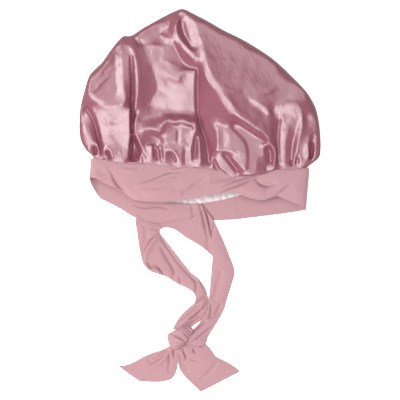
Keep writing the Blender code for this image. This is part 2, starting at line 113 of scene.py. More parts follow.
def foldShape(folds, places, rounding):  # height that all folds add at each place
    height = np.zeros(len(places))
    for rise, leftWidth, rightWidth, sharpness, *flat in folds.values():
        line = smoothCurve(np.reshape(flat, (-1, 2)), foldForm["places"])
        reach = foldForm["reach"] * max(leftWidth, rightWidth) + rounding
        low, high = line.min(axis=0) - reach, line.max(axis=0) + reach
        near = np.flatnonzero(((places > low) & (places < high)).all(axis=1))
        if not len(near):
            continue
        distance, side, along = nearestOn(line, places[near])
        width = np.where(side > 0, leftWidth, rightWidth)
        fade = np.sin(np.pi * along) ** foldForm["fullness"]
        past = np.clip(np.minimum(along, 1 - along) * foldForm["ends"], 0, 1)
        away = np.hypot(distance, rounding) - rounding
        profile = fade * past * np.exp(-((away / width) ** sharpness))
        height[near] += rise * profile
    return height


def rounded(distance, reach, power=2.0):  # 0 at the edge, steep at first, 1 from the reach on
    left = 1 - np.clip(distance / reach, 0, 1)
    return np.sqrt(1 - left**power)


def ripples(places, noise):  # smooth noise as a sum of waves
    seed, count, shortest, longest, slant, spread = noises[noise]
    rng = np.random.default_rng(seed)
    total = np.zeros(len(places))
    for _ in range(count):
        angle = np.radians(slant) + rng.normal(0, np.radians(spread))
        length = rng.uniform(shortest, longest)
        phase = rng.uniform(0, 2 * np.pi)
        walked = places @ (np.cos(angle), np.sin(angle))
        total += np.sin(2 * np.pi / length * walked + phase) * length / longest
    return total / np.sqrt(count)


def meshFrom(name, points, faces, look):
    mesh = bpy.data.meshes.new(name)
    mesh.from_pydata((np.asarray(points) * mm).tolist(), [], faces)
    mesh.update()
    mesh.shade_smooth()
    mesh.materials.append(look)
    piece = bpy.data.objects.new(name, mesh)
    home.objects.link(piece)
    return piece


def gridFaces(columns, rows):  # between points that are counted column by column
    tall = rows + 1
    return [(i * tall + j, (i + 1) * tall + j, (i + 1) * tall + j + 1, i * tall + j + 1)
            for i in range(columns) for j in range(rows)]


def thicken(piece, wall, offset):
    solidify = piece.modifiers.new("wall", "SOLIDIFY")
    solidify.thickness = wall * mm
    solidify.offset = offset
    solidify.use_even_offset = False


# materials

def newGroup(name, inputs, outputs):  # inputs with their defaults, each a number or a vector
    group = bpy.data.node_groups.new(name, "ShaderNodeTree")
    for socketName, value in inputs.items():
        kind = "NodeSocketVector" if isinstance(value, tuple) else "NodeSocketFloat"
        socket = group.interface.new_socket(name=socketName, in_out="INPUT", socket_type=kind)
        socket.default_value = value
    for socketName in outputs:
        group.interface.new_socket(name=socketName, in_out="OUTPUT", socket_type="NodeSocketFloat")
    return group, group.nodes.new("NodeGroupInput").outputs


def node(tree, kind, feeds, **settings):  # feeds: for each input, a plain value or the output that feeds it
    made = tree.nodes.new(kind)
    for name, value in settings.items():
        setattr(made, name, value)
    for socketName, source in feeds.items():
        if isinstance(source, bpy.types.NodeSocket):
            tree.links.new(source, made.inputs[socketName])
        else:
            made.inputs[socketName].default_value = source
    return made


def mathNode(tree, operation, first, second=0.5):
    return node(tree, "ShaderNodeMath", {0: first, 1: second}, operation=operation).outputs[0]


def weaveGroup():  # crossing threads: a height and a faint tone
    group, given = newGroup("threads", {"Pitch": 0.0004, "Slant": 0.0}, ("Height", "Tone"))
    place = node(group, "ShaderNodeTexCoord", {}).outputs["Object"]
    turned = node(group, "ShaderNodeVectorRotate", {"Vector": place, "Angle": given["Slant"]},
                  rotation_type="Z_AXIS")
    perMetre = mathNode(group, "DIVIDE", 1.0, given["Pitch"])
    scaled = node(group, "ShaderNodeVectorMath", {0: turned.outputs[0], "Scale": perMetre},
                  operation="SCALE").outputs[0]
    apart = node(group, "ShaderNodeSeparateXYZ", {0: scaled})
    along, across = (mathNode(group, "SINE", apart.outputs[axis]) for axis in "XY")
    noise = node(group, "ShaderNodeTexNoise", {"Vector": scaled, "Scale": 0.35}).outputs["Fac"]
    node(group, "NodeGroupOutput", {"Height": mathNode(group, "MULTIPLY", along, across), "Tone": noise})
    return group


def creaseGroup():  # soft small wrinkles from stretched noise: a height and a mask
    group, given = newGroup("small wrinkles", {"Size": 0.02, "Stretch": (1, 1, 1)}, ("Height", "Mask"))
    place = node(group, "ShaderNodeTexCoord", {}).outputs["Object"]
    stretched = node(group, "ShaderNodeVectorMath", {0: place, 1: given["Stretch"]}, operation="MULTIPLY")
    noise = node(group, "ShaderNodeTexNoise",
                 {"Vector": stretched.outputs[0], "Scale": mathNode(group, "DIVIDE", 1.0, given["Size"]),
                  "Detail": 3.0, "Distortion": 0.25}).outputs["Fac"]
    mask = node(group, "ShaderNodeMapRange", {"Value": noise, "From Min": 0.2, "From Max": 0.8})
    node(group, "NodeGroupOutput", {"Height": noise, "Mask": mask.outputs[0]})
    return group


def creaseShadeGroup():  # painted crease shade: 0 deep in a fold, where shade is painted, 1 on open cloth
    group, given = newGroup("painted crease shade", {"Depth": 0.05}, ("Mask",))
    bend = node(group, "ShaderNodeNewGeometry", {}).outputs["Pointiness"]
    lowest = mathNode(group, "SUBTRACT", 0.5, given["Depth"])  # flat cloth has 0.5
    mask = node(group, "ShaderNodeMapRange", {"Value": bend, "From Min": lowest, "From Max": 0.47})
    node(group, "NodeGroupOutput", {"Mask": mask.outputs[0]})
    return group


creaseShadeNodes = creaseShadeGroup()
threads = weaveGroup()
smallWrinkles = creaseGroup()


def clothMaterial(name, base, shade, paintedCreaseShade, roughness, hollow, weave, wrinkle, fixed):
    material = bpy.data.materials.new(name)
    material.use_nodes = True
    tree = material.node_tree
    shader = tree.nodes["Principled BSDF"]
    for socketName, value in fixed.items():
        shader.inputs[socketName].default_value = value
    thread = node(tree, "ShaderNodeGroup", {"Pitch": weave["pitch"], "Slant": weave["slant"]},
                  node_tree=threads)
    wrinkles = node(tree, "ShaderNodeGroup", {"Size": wrinkle["size"], "Stretch": wrinkle["stretch"]},
                    node_tree=smallWrinkles)
    # Painted shade: this mask is 0 in the hollows of folds. There the cloth colour turns to its crease
    # shade colour and the cloth gets rougher.
    creaseShadeMask = node(tree, "ShaderNodeGroup", {"Depth": hollow}, node_tree=creaseShadeNodes).outputs["Mask"]
    tone = node(tree, "ShaderNodeMapRange",
                {"Value": thread.outputs["Tone"], "To Min": 1 - weave["tone"], "To Max": 1})
    colour = node(tree, "ShaderNodeMix", {"Factor": tone.outputs[0], "A": (*shade, 1), "B": (*base, 1)},
                  data_type="RGBA")
    # Painted shade: the crease shade colour is mixed in where the mask is low.
    folded = node(tree, "ShaderNodeMix",
                  {"Factor": creaseShadeMask, "A": (*paintedCreaseShade, 1), "B": colour.outputs["Result"]}, data_type="RGBA")
    gloss = node(tree, "ShaderNodeMapRange",
                 {"Value": wrinkles.outputs["Mask"], "To Min": roughness[0], "To Max": roughness[1]})
    dull = node(tree, "ShaderNodeMix", {"Factor": creaseShadeMask, "A": 0.8, "B": gloss.outputs[0]},
                data_type="FLOAT")
    broad = node(tree, "ShaderNodeBump", {"Strength": wrinkle["strength"], "Distance": wrinkle["depth"],
                                          "Height": wrinkles.outputs["Height"]})
    fine = node(tree, "ShaderNodeBump", {"Strength": weave["strength"], "Distance": weave["pitch"],
                                         "Height": thread.outputs["Height"], "Normal": broad.outputs[0]})
    tree.links.new(folded.outputs["Result"], shader.inputs["Base Color"])
    tree.links.new(dull.outputs["Result"], shader.inputs["Roughness"])
    tree.links.new(fine.outputs[0], shader.inputs["Normal"])
    return material


# Each cloth's third colour is shade painted into the hollows of its folds. hollow sets how far a fold must
# bend to take all of it.
satin = clothMaterial(
    "rose satin", base=(0.25, 0.065, 0.095), shade=(0.215, 0.052, 0.078), paintedCreaseShade=(0.25, 0.04, 0.072),
    roughness=(0.29, 0.33), hollow=0.11,
    weave={"pitch": 0.0001, "slant": 0.4, "tone": 0.3, "strength": 0.12},
    wrinkle={"size": 0.016, "stretch": (1.0, 0.55, 1.0), "strength": 0.5, "depth": 0.0012},
    fixed={"IOR": 2.05, "Specular IOR Level": 0.5})
lining = clothMaterial(
    "pale satin", base=(0.62, 0.525, 0.545), shade=(0.55, 0.46, 0.48), paintedCreaseShade=(0.40, 0.30, 0.32),
    roughness=(0.34, 0.42), hollow=0.08,
    weave={"pitch": 0.0001, "slant": 0.4, "tone": 0.3, "strength": 0.1},
    wrinkle={"size": 0.012, "stretch": (1.0, 0.7, 1.0), "strength": 0.5, "depth": 0.001},
    fixed={"IOR": 1.7, "Specular IOR Level": 0.6})
knit = clothMaterial(
    "rose knit", base=(0.445, 0.252, 0.276), shade=(0.40, 0.218, 0.24), paintedCreaseShade=(0.27, 0.10, 0.12),
    roughness=(0.82, 0.92), hollow=0.05,
    weave={"pitch": 0.0002, "slant": 0.0, "tone": 0.5, "strength": 0.35},
    wrinkle={"size": 0.02, "stretch": (0.7, 1.0, 1.0), "strength": 0.3, "depth": 0.001},
    fixed={"IOR": 1.45, "Specular IOR Level": 0.25, "Sheen Weight": 0.12, "Sheen Roughness": 0.5,
           "Sheen Tint": (0.95, 0.6, 0.65, 1)})
print("materials made")

# crown

outlineLeft = ((-136, 54), (-142, 64), (-149, 79), (-150, 101), (-148, 120), (-141, 146),
               (-136, 158), (-122, 172), (-112, 186), (-101, 200))
outlineTop = ((-101, 200), (-95, 205), (-85, 206), (-69, 216), (-46, 229), (-28, 237.5),
              (-20, 238.5), (-11, 234.5), (9, 224), (30, 212), (56, 199), (80, 184))
outlineRight = ((80, 184), (96, 172), (110, 159), (131, 137), (141, 122), (146, 108),
                (149, 89), (150, 65), (147, 53), (137, 41))
nearSeam = ((-131, 54), (-107, 48.5), (-86, 46.5), (-56, 45.5), (-27, 41.5), (-14, 42.5),
            (12, 39), (26, 37), (40, 29.5), (46, 31), (60, 32.5), (78, 34.5), (92, 39),
            (114, 39.5), (132, 41.5))
farSeam = ((-127, 46), (-119, 32), (-102, 19.6), (-80, 10), (-56, 3), (-32, -1.2), (-13, -2.6),
           (0, -1.2), (24, 2.2), (42, 6.6), (63, 13.6), (88, 22), (112, 30.5), (128, 37))

crown = {
    "columns": 300,
    "rows": 140,
    "crowding": 0.3,  # of the columns and the rows towards both ends
    "rowSpread": 1.1,
    "sidePlaces": 4000,
    "rimPlaces": 6000,
    "rimStep": 20,  # one in so many of these is kept
    "farPlaces": 90,
    "wall": 1.0,
    "seamHeight": 16.4,
    "edgeHeight": 14.0,
    "rimReach": 12.0,
    "rimPower": 4.0,
    "rimWaves": 0.7,
    "leastRim": 0.5,  # a pinned height is divided by no less than this
    "seamReach": 4.0,
    "coarseRim": 300,  # places of the lines that distances are measured from
    "coarseSeam": 80,
    "overhang": 3.0,  # how far the puffs stand out over the seam
    "puffHeight": 4.0,  # how far behind the seam they stand out most
    "mouthHalf": 136,  # how far from the middle they end
    "mouthFade": 12,
    "puffStart": 16.5,  # the height at which cloth begins to stand out
    "puffFade": 4,
    "turnSteps": 8,
    "turnSmoothings": 6,
    "turnDepth": 8.0,
    "turnWaves": 0.7,
    "turnEnds": 60,  # columns from each end of the mouth over which the turn narrows
    "endTurn": 0.3,
    "waves": 0.25,
    "crinkles": 0.05,
    "creaseRounding": 0.4,
}
sheet = {
    "west": 72,  # in points of the photograph, as are the next four
    "north": 4,
    "wide": 256,
    "tall": 184,
    "cell": 0.5,
    "coarseness": (16, 8, 4, 2, 1),  # cells of each round
    "passes": 160,
    "linePlaces": 400,
    "softLevels": (0.6, 1.2, 2.4, 5.0),
    "softSpread": 1.5,
}

# Folds of the crown: softness, then the points that the sheet is pulled over, each u and v in points of the
# photograph and a height in mm
crownLines = {
    "left lobe, left crest": (0.8, 129, 43, 34.5, 125, 45, 35, 122.6, 50, 37.2, 123, 58, 39.3,
        123.6, 66, 40.5, 124, 75, 40.8, 124.4, 83, 40.8, 125.4, 92, 40.6, 126.8, 99, 39.6, 124, 105, 38,
        113, 107, 37.3, 104, 108, 36, 92, 107, 31),
    "left lobe, lit flank": (0.6, 117.5, 47, 33.6, 116.4, 57, 36.2, 116, 66, 37.3, 116.2, 75, 37.6,
        117, 84, 37.7, 117.5, 93, 37.7, 114, 101, 37.4),
    "left lobe, foot": (1.2, 104, 156, 18, 112, 158, 17.8, 120, 159.5, 17.6, 126, 160, 17.5),
    "left lobe, left edge": (0.6, 93, 110, 32, 98, 121, 29.5, 101, 132, 25.5, 103.5, 143, 21.5),
    "left lobe, right edge": (0.4, 131, 109, 37, 131, 124, 31, 131, 136, 26, 129.6, 150, 20,
        128, 159, 17.4),
    "left lobe, inner face": (0.5, 126.5, 46, 36.4, 129.3, 52, 37.6, 130.4, 60, 38.9, 130.7, 70, 39.3,
        130.9, 80, 38.8, 131, 90, 37.2, 130.9, 100, 35),
    "left lobe, valley": (0.35, 131.3, 58, 36.6, 132.2, 66, 35.4, 132.6, 74, 33.8, 132.8, 82, 31.8,
        132.8, 92, 28.6, 132.9, 104, 23.5, 132.9, 118, 18, 132.8, 133, 14),
    "left lobe, right crest": (0.7, 129, 43, 34.5, 133, 50.5, 39, 136.5, 61, 40.9, 138.2, 71, 41.4,
        138.8, 81, 41, 138.3, 92, 38.4, 136.7, 103, 33.4, 135, 112, 28.5),
    "left lobe, inner shoulder": (0.45, 132, 52, 38.2, 133.6, 60, 39.1, 134.4, 68, 39.5, 134.8, 76, 39.2,
        135, 84, 38.4, 135, 92, 36.3, 134.5, 103, 31.5, 133.9, 110, 28),
    "left recess": (0.8, 134, 137, 11, 133, 146, 5, 133, 155, 5, 132, 160, 10),
    "left recess, right part": (0.8, 136, 142, 8, 137.5, 149, 6, 139, 156, 9),
    "left trough": (0.8, 141, 43, 31, 146, 51, 34.2, 149.3, 60, 35.2, 152, 66, 34.6),
    "middle panel, top": (0.6, 158, 71.5, 35, 165, 74, 36.5, 171, 78, 37.9, 177.5, 81.5, 39, 181, 77, 39.5,
        185.5, 72.3, 40, 195.3, 71.7, 40.5),
    "middle panel, left edge": (0.4, 152.5, 69, 33.4, 154.4, 73, 33.3, 156.1, 79, 31.7, 157.8, 86, 30,
        157.3, 92.4, 28.3, 153.2, 99.8, 26.5, 147, 106.8, 25.3),
    "middle panel, foot": (2, 150, 109, 24, 158, 112, 22.8, 170, 113, 22, 182, 114, 22, 195, 113, 22),
    "lower puff, upper valley": (1.5, 141.5, 120, 25.5, 147, 118.5, 24.3, 154, 118, 23.5, 161, 118, 23.3),
    "middle panel, right edge": (0.4, 195.3, 72, 42, 195.2, 85, 36, 195, 95, 30.5, 195, 105, 25.5,
        196, 115, 22),
    "centre crevice": (0.35, 197.3, 71, 36, 197.4, 80, 33, 197.3, 92, 28.3, 197.4, 105, 22.5,
        198, 117, 17.5, 201, 128, 15, 205, 139, 13.5, 207.5, 152, 13, 209.2, 164, 12.5),
    "lower puff, left rim": (0.5, 151, 107, 25, 144, 111.5, 26.5, 138, 116, 27.5, 135.5, 121, 28.5,
        134.3, 129, 28.5, 136, 136, 27, 140, 144.4, 24, 145, 152.6, 20, 149, 160, 17),
    "lower puff, scallops": (0.5, 139, 137, 26, 140, 132, 27.5, 144, 129.4, 29, 150, 128.3, 29.7,
        156.5, 130, 29.5, 160.6, 132, 29, 162.5, 127, 29.5, 165.8, 122, 29.5, 170, 120, 29.7,
        174, 123, 29.7, 177, 122.5, 29.7, 181.3, 120, 29.7, 185.4, 121.6, 30, 190.6, 124.5, 30,
        195.8, 122, 29),
    "lower puff, left face": (0.8, 143, 136.5, 25, 150, 136, 22.5, 156, 138, 20, 161, 141, 18.5),
    "lower puff, left face, foot": (0.8, 145.5, 143.5, 21.5, 151, 144.5, 19.3, 158, 146, 16.8),
    "lower puff, second face": (0.8, 164.5, 128.5, 27, 170, 126, 25.5, 176, 128, 23.8),
    "lower puff, second face, foot": (0.8, 165, 141, 24.3, 170, 143.5, 23, 176, 145, 21.8),
    "lower puff, third face": (0.8, 180.5, 125.5, 26.5, 186, 128, 25, 191.5, 129, 23.8),
    "lower puff, third face, foot": (1, 181, 143, 24, 185.5, 144.5, 23, 189.5, 143, 22.2),
    "lower puff, right rim": (0.5, 196.2, 123, 29, 196.3, 129, 28.5, 193.7, 137, 26.5, 191.6, 146, 23.5,
        189.6, 157, 19, 187.5, 164, 17),
    "narrow puff": (1, 199, 137, 24, 199.5, 146, 25, 200.5, 156, 23, 201, 163, 19),
    "narrow puff, left side": (0.5, 196, 138, 21, 195, 148, 18.5, 194, 158, 17),
    "apex streak": (0.7, 178, 15.5, 34, 175.5, 20, 36.3, 173.6, 26, 37.8, 173.2, 33, 38.8, 174.6, 40, 40.2,
        177.2, 45.3, 41.1),
    "left of the streak": (2, 171, 20, 31.5, 169, 30, 33.6, 168, 40, 35.6, 166, 50, 36.8, 162, 60, 36.6,
        160, 66, 36.2),
    "left plateau": (2.4, 160, 32, 29.5, 155.5, 42, 33, 155, 50, 35.3, 155, 60, 36.2),
    "lip, left rim": (0.6, 180, 20, 37.3, 177.2, 25.5, 39.1, 176.6, 32, 40.2, 178.6, 38, 41.7,
        182.7, 44.3, 43.5, 187.5, 49.4, 45, 191.6, 53.5, 46, 195, 57.5, 46.5),
    "lip, lower facet": (0.6, 180.2, 48, 42.3, 185.2, 53, 43.7, 189.6, 57.2, 44.7, 193.3, 61, 45),
    "lip, hollow": (0.5, 181.5, 23, 33.5, 182.6, 31, 34, 185.2, 38, 36, 188.8, 45, 39, 192.5, 51.5, 42),
    "lip, right rim": (0.6, 184.5, 19.5, 36, 186.6, 24, 37.2, 187.8, 30.7, 38, 190, 38, 39.4,
        192.7, 44, 41.2, 195.5, 50, 43),
    "lip, underside": (0.5, 174.5, 45.5, 37, 176.5, 51.5, 35.8, 179.6, 58, 34.8, 184, 65, 34.3,
        190.2, 69.8, 35, 196, 70, 36.5),
    "diagonal crest": (0.8, 192, 19, 38.5, 196.2, 27, 41.4, 199.5, 37, 43.4, 202, 43.5, 45,
        204.8, 54.6, 47.3, 207, 65.7, 49, 210.5, 74, 50, 214.5, 81.5, 50, 219.5, 86.5, 49.5, 222.5, 93, 49,
        226, 98.5, 48.5, 231, 104, 47.8, 235.5, 110.5, 46.8, 240.5, 117, 45, 246, 121, 43.5,
        254.2, 126.5, 41, 262.5, 133, 38, 269, 140.5, 34),
    "diagonal crest, left shoulder": (0.6, 199.5, 56, 45, 202, 66, 46.4, 204.5, 76, 47.2, 209, 85.5, 47.5,
        215, 91, 47, 217.8, 97, 46.3, 221.5, 103, 45.7, 226, 109.5, 44.3, 230, 117, 42.5),
    "diagonal crest, lower shoulder": (0.6, 232.5, 113.5, 45.8, 237.8, 119.3, 43.7, 243.7, 123.4, 41.8,
        251, 128.4, 39.2, 258.5, 133.6, 36.2),
    "right skirt, top": (0.35, 232, 125, 27, 238, 125, 27, 243.5, 128.7, 26.7, 251, 133.7, 26.3,
        259, 139, 26, 264, 143.5, 25),
    "right skirt": (0.4, 233, 128.5, 26, 238.5, 132.7, 25.9, 244.3, 139.5, 25.8, 248, 148.6, 25.7,
        248.6, 160, 25.4, 246.9, 168.3, 24.4),
    "right skirt, face": (1.2, 252, 140, 25.9, 255.5, 149, 25.7, 257, 159, 25.4, 256, 168, 24),
    "middle puff, rim": (0.4, 213.5, 127, 27, 218.5, 125.2, 27.3, 224, 126.6, 27.7, 230.5, 130.3, 28,
        236, 135, 28.2, 241.8, 141.5, 28, 245.6, 149.8, 27.7, 246, 160, 27, 244.3, 168, 25.6),
    "middle puff, left edge": (0.5, 216.8, 131, 27.6, 217.5, 138, 27.4, 217.3, 148, 26.8),
    "middle puff, hollow": (1.4, 222.8, 132, 26.6, 223, 140, 25.8, 223, 147, 25.4),
    "middle puff, upright": (1.4, 228.8, 133, 28.6, 228.8, 142, 28.1, 229, 149, 27.3),
    "middle puff, right face": (0.8, 235, 139, 28.6, 238.5, 146, 28.4, 240, 154, 27.8),
    "middle puff, cross crest": (0.5, 215, 150.5, 26.5, 222, 150.7, 27, 228, 151.5, 27.3, 235, 153.3, 27.3),
    "middle puff, foot": (1, 232, 158.5, 25.6, 237.5, 163.5, 25.6, 242, 168, 25),
    "tongue": (0.5, 215.5, 158.5, 21.8, 219.5, 165, 20, 225, 171.5, 17.9, 230.5, 176.5, 16),
    "tongue, right crest": (0.5, 221.5, 155.5, 23, 225.8, 160.5, 21.4, 231, 167, 19.2, 235.3, 173.3, 17.2),
    "tongue, right side": (0.35, 224, 154.3, 20.5, 228, 158.7, 18.5, 233.2, 165, 16.5, 237.6, 171.5, 15),
    "tongue, left side": (0.4, 212, 159.5, 16, 216.8, 168, 15, 223, 174.5, 14.6),
    "right loop, rim": (0.4, 262.5, 146.3, 29, 267.7, 144.3, 30, 272.1, 146.7, 30, 275, 153.4, 28.5,
        273.8, 161, 25.5, 273.2, 166.7, 21, 277.7, 170, 18),
    "right loop, left side": (0.4, 262.8, 151, 27, 264.6, 161, 22.5, 266.3, 168, 18.5),
    "right loop, hollow": (0.4, 267, 149, 21, 269.2, 151, 19.5, 270, 156, 18, 270.3, 162, 17),
    "panel, middle crest": (0.7, 242.2, 93, 43.3, 252.2, 100, 42.7, 259, 104.5, 42, 267.7, 111.5, 39.5,
        271, 117, 36),
    "panel, middle crest, foot": (0.7, 244, 98.5, 42.6, 250, 104.5, 41, 256.5, 109.7, 39.3,
        264.5, 116, 36.8),
    "panel, valley": (2, 232, 99, 46, 239, 107.5, 44, 248, 113.5, 42, 257, 120.5, 39.4, 265, 128, 36.6),
    "panel, upper": (4, 222, 74, 46.8, 238, 80, 44.6, 255, 87, 42.4, 270, 93, 39.2, 286, 98, 35),
    "panel, far": (5, 212, 50, 43, 230, 56, 41.8, 250, 68, 40, 272, 82, 37),
    "bulge, rim": (0.7, 271, 113, 34, 273, 110, 35.3, 279, 106.5, 37.2, 287.7, 104.5, 38.6,
        295.4, 105, 39.2, 300, 110, 37.5, 302, 119, 34.5, 301.5, 128, 32, 298.4, 137, 29.5, 296, 148, 26,
        293.8, 158, 22),
    "bulge, top face": (0.8, 273, 115.5, 32.6, 279, 113.3, 34.2, 285, 112.6, 35.4, 292, 112.6, 36.2,
        298, 114.5, 35.6),
    "bulge, centre left": (0.8, 281.8, 118, 34.2, 280, 126, 31.2, 278.9, 137, 27.4, 279.4, 150, 22.8,
        280.4, 166, 18.2),
    "bulge, centre right": (0.8, 291, 118, 34.3, 288.2, 126, 31.6, 285.6, 137, 28, 284.8, 150, 23.3,
        284.3, 166, 18.7),
    "bulge, left hollow": (0.7, 278.6, 122, 28.5, 277.8, 130, 26, 277.2, 138, 23, 277.6, 150, 19.5,
        278.5, 163, 16.8),
    "bulge, right hollow": (0.7, 297.5, 119, 33.2, 296, 127, 30, 293.5, 138, 25, 291.5, 150, 20,
        290.6, 163, 17),
    "bulge, left side": (1.2, 269, 120, 36, 270, 129, 35, 270.5, 138, 33.5),
    "small loop, rim": (0.4, 293, 163.4, 19, 294.6, 157, 22, 298, 155, 22.5, 299.5, 160, 21,
        296.8, 165.6, 18),
    "small loop, hollow": (0.4, 297, 158.5, 18, 296, 163, 16.5),
    "right shoulder": (2, 304.5, 116, 29, 305.5, 130, 28, 304, 145, 26, 303, 157, 21),
    "end loop, left rim": (0.6, 309.3, 136.5, 27, 307.3, 143.4, 27.5, 307.7, 152.3, 25.5, 308.2, 161.2, 20),
    "end loop, right rim": (0.5, 309.5, 136.8, 25, 313, 138, 23, 314.6, 146.7, 22, 312.5, 157.8, 20,
        310, 165.5, 17.5),
    "end loop, hollow": (0.5, 310.8, 142, 20, 311, 150, 16.5, 310.2, 158, 14.5),
    "left strip": (1.5, 84.5, 118, 19, 88, 127, 22, 92, 136, 23, 94, 141, 22.5),
    "left strip, line": (0.5, 86, 108, 24, 91.4, 115.4, 21.5, 95.6, 124.7, 19, 98.1, 135, 17,
        100.3, 145.4, 15.5, 102.6, 153, 15, 106.8, 160, 15),
    "oval ring, right": (0.4, 91.4, 146, 21, 94, 143.3, 22, 97.5, 142.8, 22, 99.2, 146, 21, 99.9, 152, 19,
        99, 157, 17.5),
    "oval ring, left": (0.4, 91.2, 146.5, 21, 90.6, 150.6, 19, 92.6, 155.7, 17.5),
    "oval ring, hollow": (0.4, 95.6, 147.5, 17, 96, 154, 15),
    "lobe ring, left": (0.4, 103.2, 149.5, 21, 103.8, 155, 20, 106.5, 159, 18.5, 109, 161, 17.5),
    "lobe ring, right": (0.4, 103.4, 149.3, 21, 106, 147.5, 22, 110, 149, 22, 112, 153, 21, 113, 162, 17.5),
    "lobe ring, hollow": (0.4, 107.6, 151.5, 17.5, 109.5, 156, 16, 111, 161, 15.5),
    "upper left": (2, 94, 92, 40, 102, 80, 39.8, 109, 69, 38.2),
    "upper left, low": (2, 96, 102, 38.8, 105, 98, 38.6, 111, 90, 38),
    "upper left, rim": (2, 87, 96, 39.2, 89.5, 88, 39.8, 93, 80, 40, 98.5, 73, 39.4, 104.5, 65.5, 38.2,
        110, 57, 36),
    "gather one, crest": (0.5, 147, 150, 20.5, 149, 146, 22.3, 152.4, 145.4, 22.6, 153.3, 149, 21,
        152, 158, 17.8),
    "gather one, crevice": (0.4, 154.8, 148, 19, 155, 153, 16.5, 156.5, 160, 15.5),
    "gather two, crest": (0.5, 157.5, 149, 22, 158.6, 155, 20, 159, 162, 17.5),
    "gather two, crevice": (0.4, 161, 150, 18.5, 161.5, 158, 16),
    "gather three, crest": (0.5, 163.7, 147, 23.5, 164.5, 154, 21, 164.5, 162, 17.5),
    "gather four, arc": (0.4, 166.8, 150, 22.5, 171, 149.3, 23.5, 175.1, 152.6, 22.5, 178.2, 157.8, 20,
        178.7, 163, 17.5),
    "gather four, hollow": (0.4, 168.5, 153.5, 18.5, 171.5, 158, 16.5, 172.5, 163, 15.5),
    "gather five, crest": (0.6, 182, 149, 22.5, 182.5, 161, 18),
    "gather five, crevice": (0.4, 185.6, 152, 19, 185.6, 163, 15.5),
    "gather six, crest": (0.5, 190.8, 154, 21, 191, 163, 17.5),
    "gather by the recess": (0.5, 141, 150, 19, 140.5, 161, 16.5),
    "gather by the recess, crevice": (0.4, 143.6, 155, 17, 144, 163, 15),
    "gather at the tongue": (0.5, 211.5, 158, 20.5, 213, 167, 17.5),
}

# Small creases of the crown: rise in mm, width left and right, sharpness, then points u and v
crownCreases = {
    "left streak one": (0.9, 1.6, 1.6, 1.5, 92, 96, 103, 84, 112, 75),
    "left streak two": (0.8, 1.4, 1.4, 1.5, 106, 74, 112, 71.5, 117.5, 70),
    "left streak three": (0.6, 1.4, 1.4, 1.5, 108, 89.6, 114, 88.3, 119.5, 88.4),
    "top stroke one": (1.2, 1.6, 2.4, 1.5, 159.6, 36, 168, 41, 174, 46),
    "top stroke two": (0.8, 1.6, 2.4, 1.5, 148, 46, 160, 48.3, 166, 51),
    "top stroke three": (1.4, 2, 3, 1.5, 160, 60.5, 167, 63, 173, 67, 178, 66),
    "beside the lobe": (-1.4, 1.6, 1.6, 1.5, 132, 38, 137, 42, 140, 49),
    "panel crease one": (0.8, 1.6, 2, 1.5, 221, 88, 232, 92.4, 242, 92.4),
    "panel crease two": (1, 2.4, 1.6, 1.5, 252, 95.7, 265.5, 93.7, 277, 86.8),
    "panel crease three": (-0.8, 1.6, 1.6, 1.5, 231, 105.7, 243, 105.7, 254.5, 103.5),
    "below the crest": (0.7, 1.6, 1.6, 1.5, 258, 124.5, 262, 127.5, 265, 131),
    "lip edge": (0.8, 1.8, 1.2, 1.5, 181, 18.5, 177.4, 25, 176.6, 32, 178.6, 38.5),
    "scallop crease": (-1.3, 1.3, 1.3, 1.5, 177.5, 124, 178.5, 134, 178, 146),
    "lobe dent one": (-0.5, 2, 2, 1.5, 111, 123, 115, 122, 119, 120),
    "lobe dent two": (-0.5, 2, 2, 1.5, 109, 136, 113, 134.5, 118, 131),
    "slit, centre": (-2.5, 0.9, 0.9, 1.4, 197.4, 72, 197.5, 88, 197.6, 104, 198.3, 118, 201.5, 129,
        205.3, 140, 208, 153, 209.4, 166),
    "slit, left lobe valley": (-2, 0.8, 0.8, 1.4, 132.2, 66, 132.7, 78, 132.8, 90, 133.1, 106, 133.2, 121,
        132.8, 134),
    "slit, left line": (-2.5, 0.9, 0.9, 1.4, 86, 108, 91.4, 115.4, 95.6, 124.7, 98.1, 135, 100.3, 145.4,
        103, 153, 107, 161),
    "slit, narrow puff": (-2.5, 0.9, 0.9, 1.4, 196.5, 136, 195.3, 148, 193, 162),
    "slit, gather one": (-4, 0.7, 0.7, 2, 153.5, 147, 155.5, 153, 157.5, 161),
    "slit, gather four": (-3, 0.7, 0.7, 2, 169, 152.5, 173, 156.5, 175.5, 163),
    "slit, bulge": (-3, 0.7, 0.7, 2, 290, 160, 291.5, 166),
    "slit, end loop": (-3, 1, 1, 2, 311.3, 143, 311.3, 152, 309.5, 162),
    "slit, lobe ring": (-3, 0.7, 0.7, 2, 108, 151.5, 110.3, 156, 112, 162),
    "slit, oval ring": (-3, 0.9, 0.9, 2, 95.8, 147, 96.3, 155),
}


def sampled(field, rows, columns):  # values between the cells of a grid
    r, c = np.floor(rows).astype(int), np.floor(columns).astype(int)
    a, b = rows - r, columns - c
    return ((1 - a) * (1 - b) * field[r, c] + (1 - a) * b * field[r, c + 1]
            + a * (1 - b) * field[r + 1, c] + a * b * field[r + 1, c + 1])


def cellsAt(points, size):  # rows and columns of the grid where these points of the photograph lie
    return (points[:, 1] - sheet["north"]) / size, (points[:, 0] - sheet["west"]) / size


def pinLines(lift, size, shape):  # heights and softness of the cells that the lines cross
    total, soft, hits = np.zeros(shape), np.zeros(shape), np.zeros(shape)
    for softening, *flat in crownLines.values():
        places = smoothCurve(np.reshape(flat, (-1, 3)), sheet["linePlaces"])
        cells = tuple(np.round(cellsAt(places, size)).astype(int))
        for field, value in ((total, lift(places)), (soft, softening), (hits, 1)):
            np.add.at(field, cells, value)
    pinned = hits > 0
    total[pinned] /= hits[pinned]
    soft[pinned] /= hits[pinned]
    return pinned, total, soft


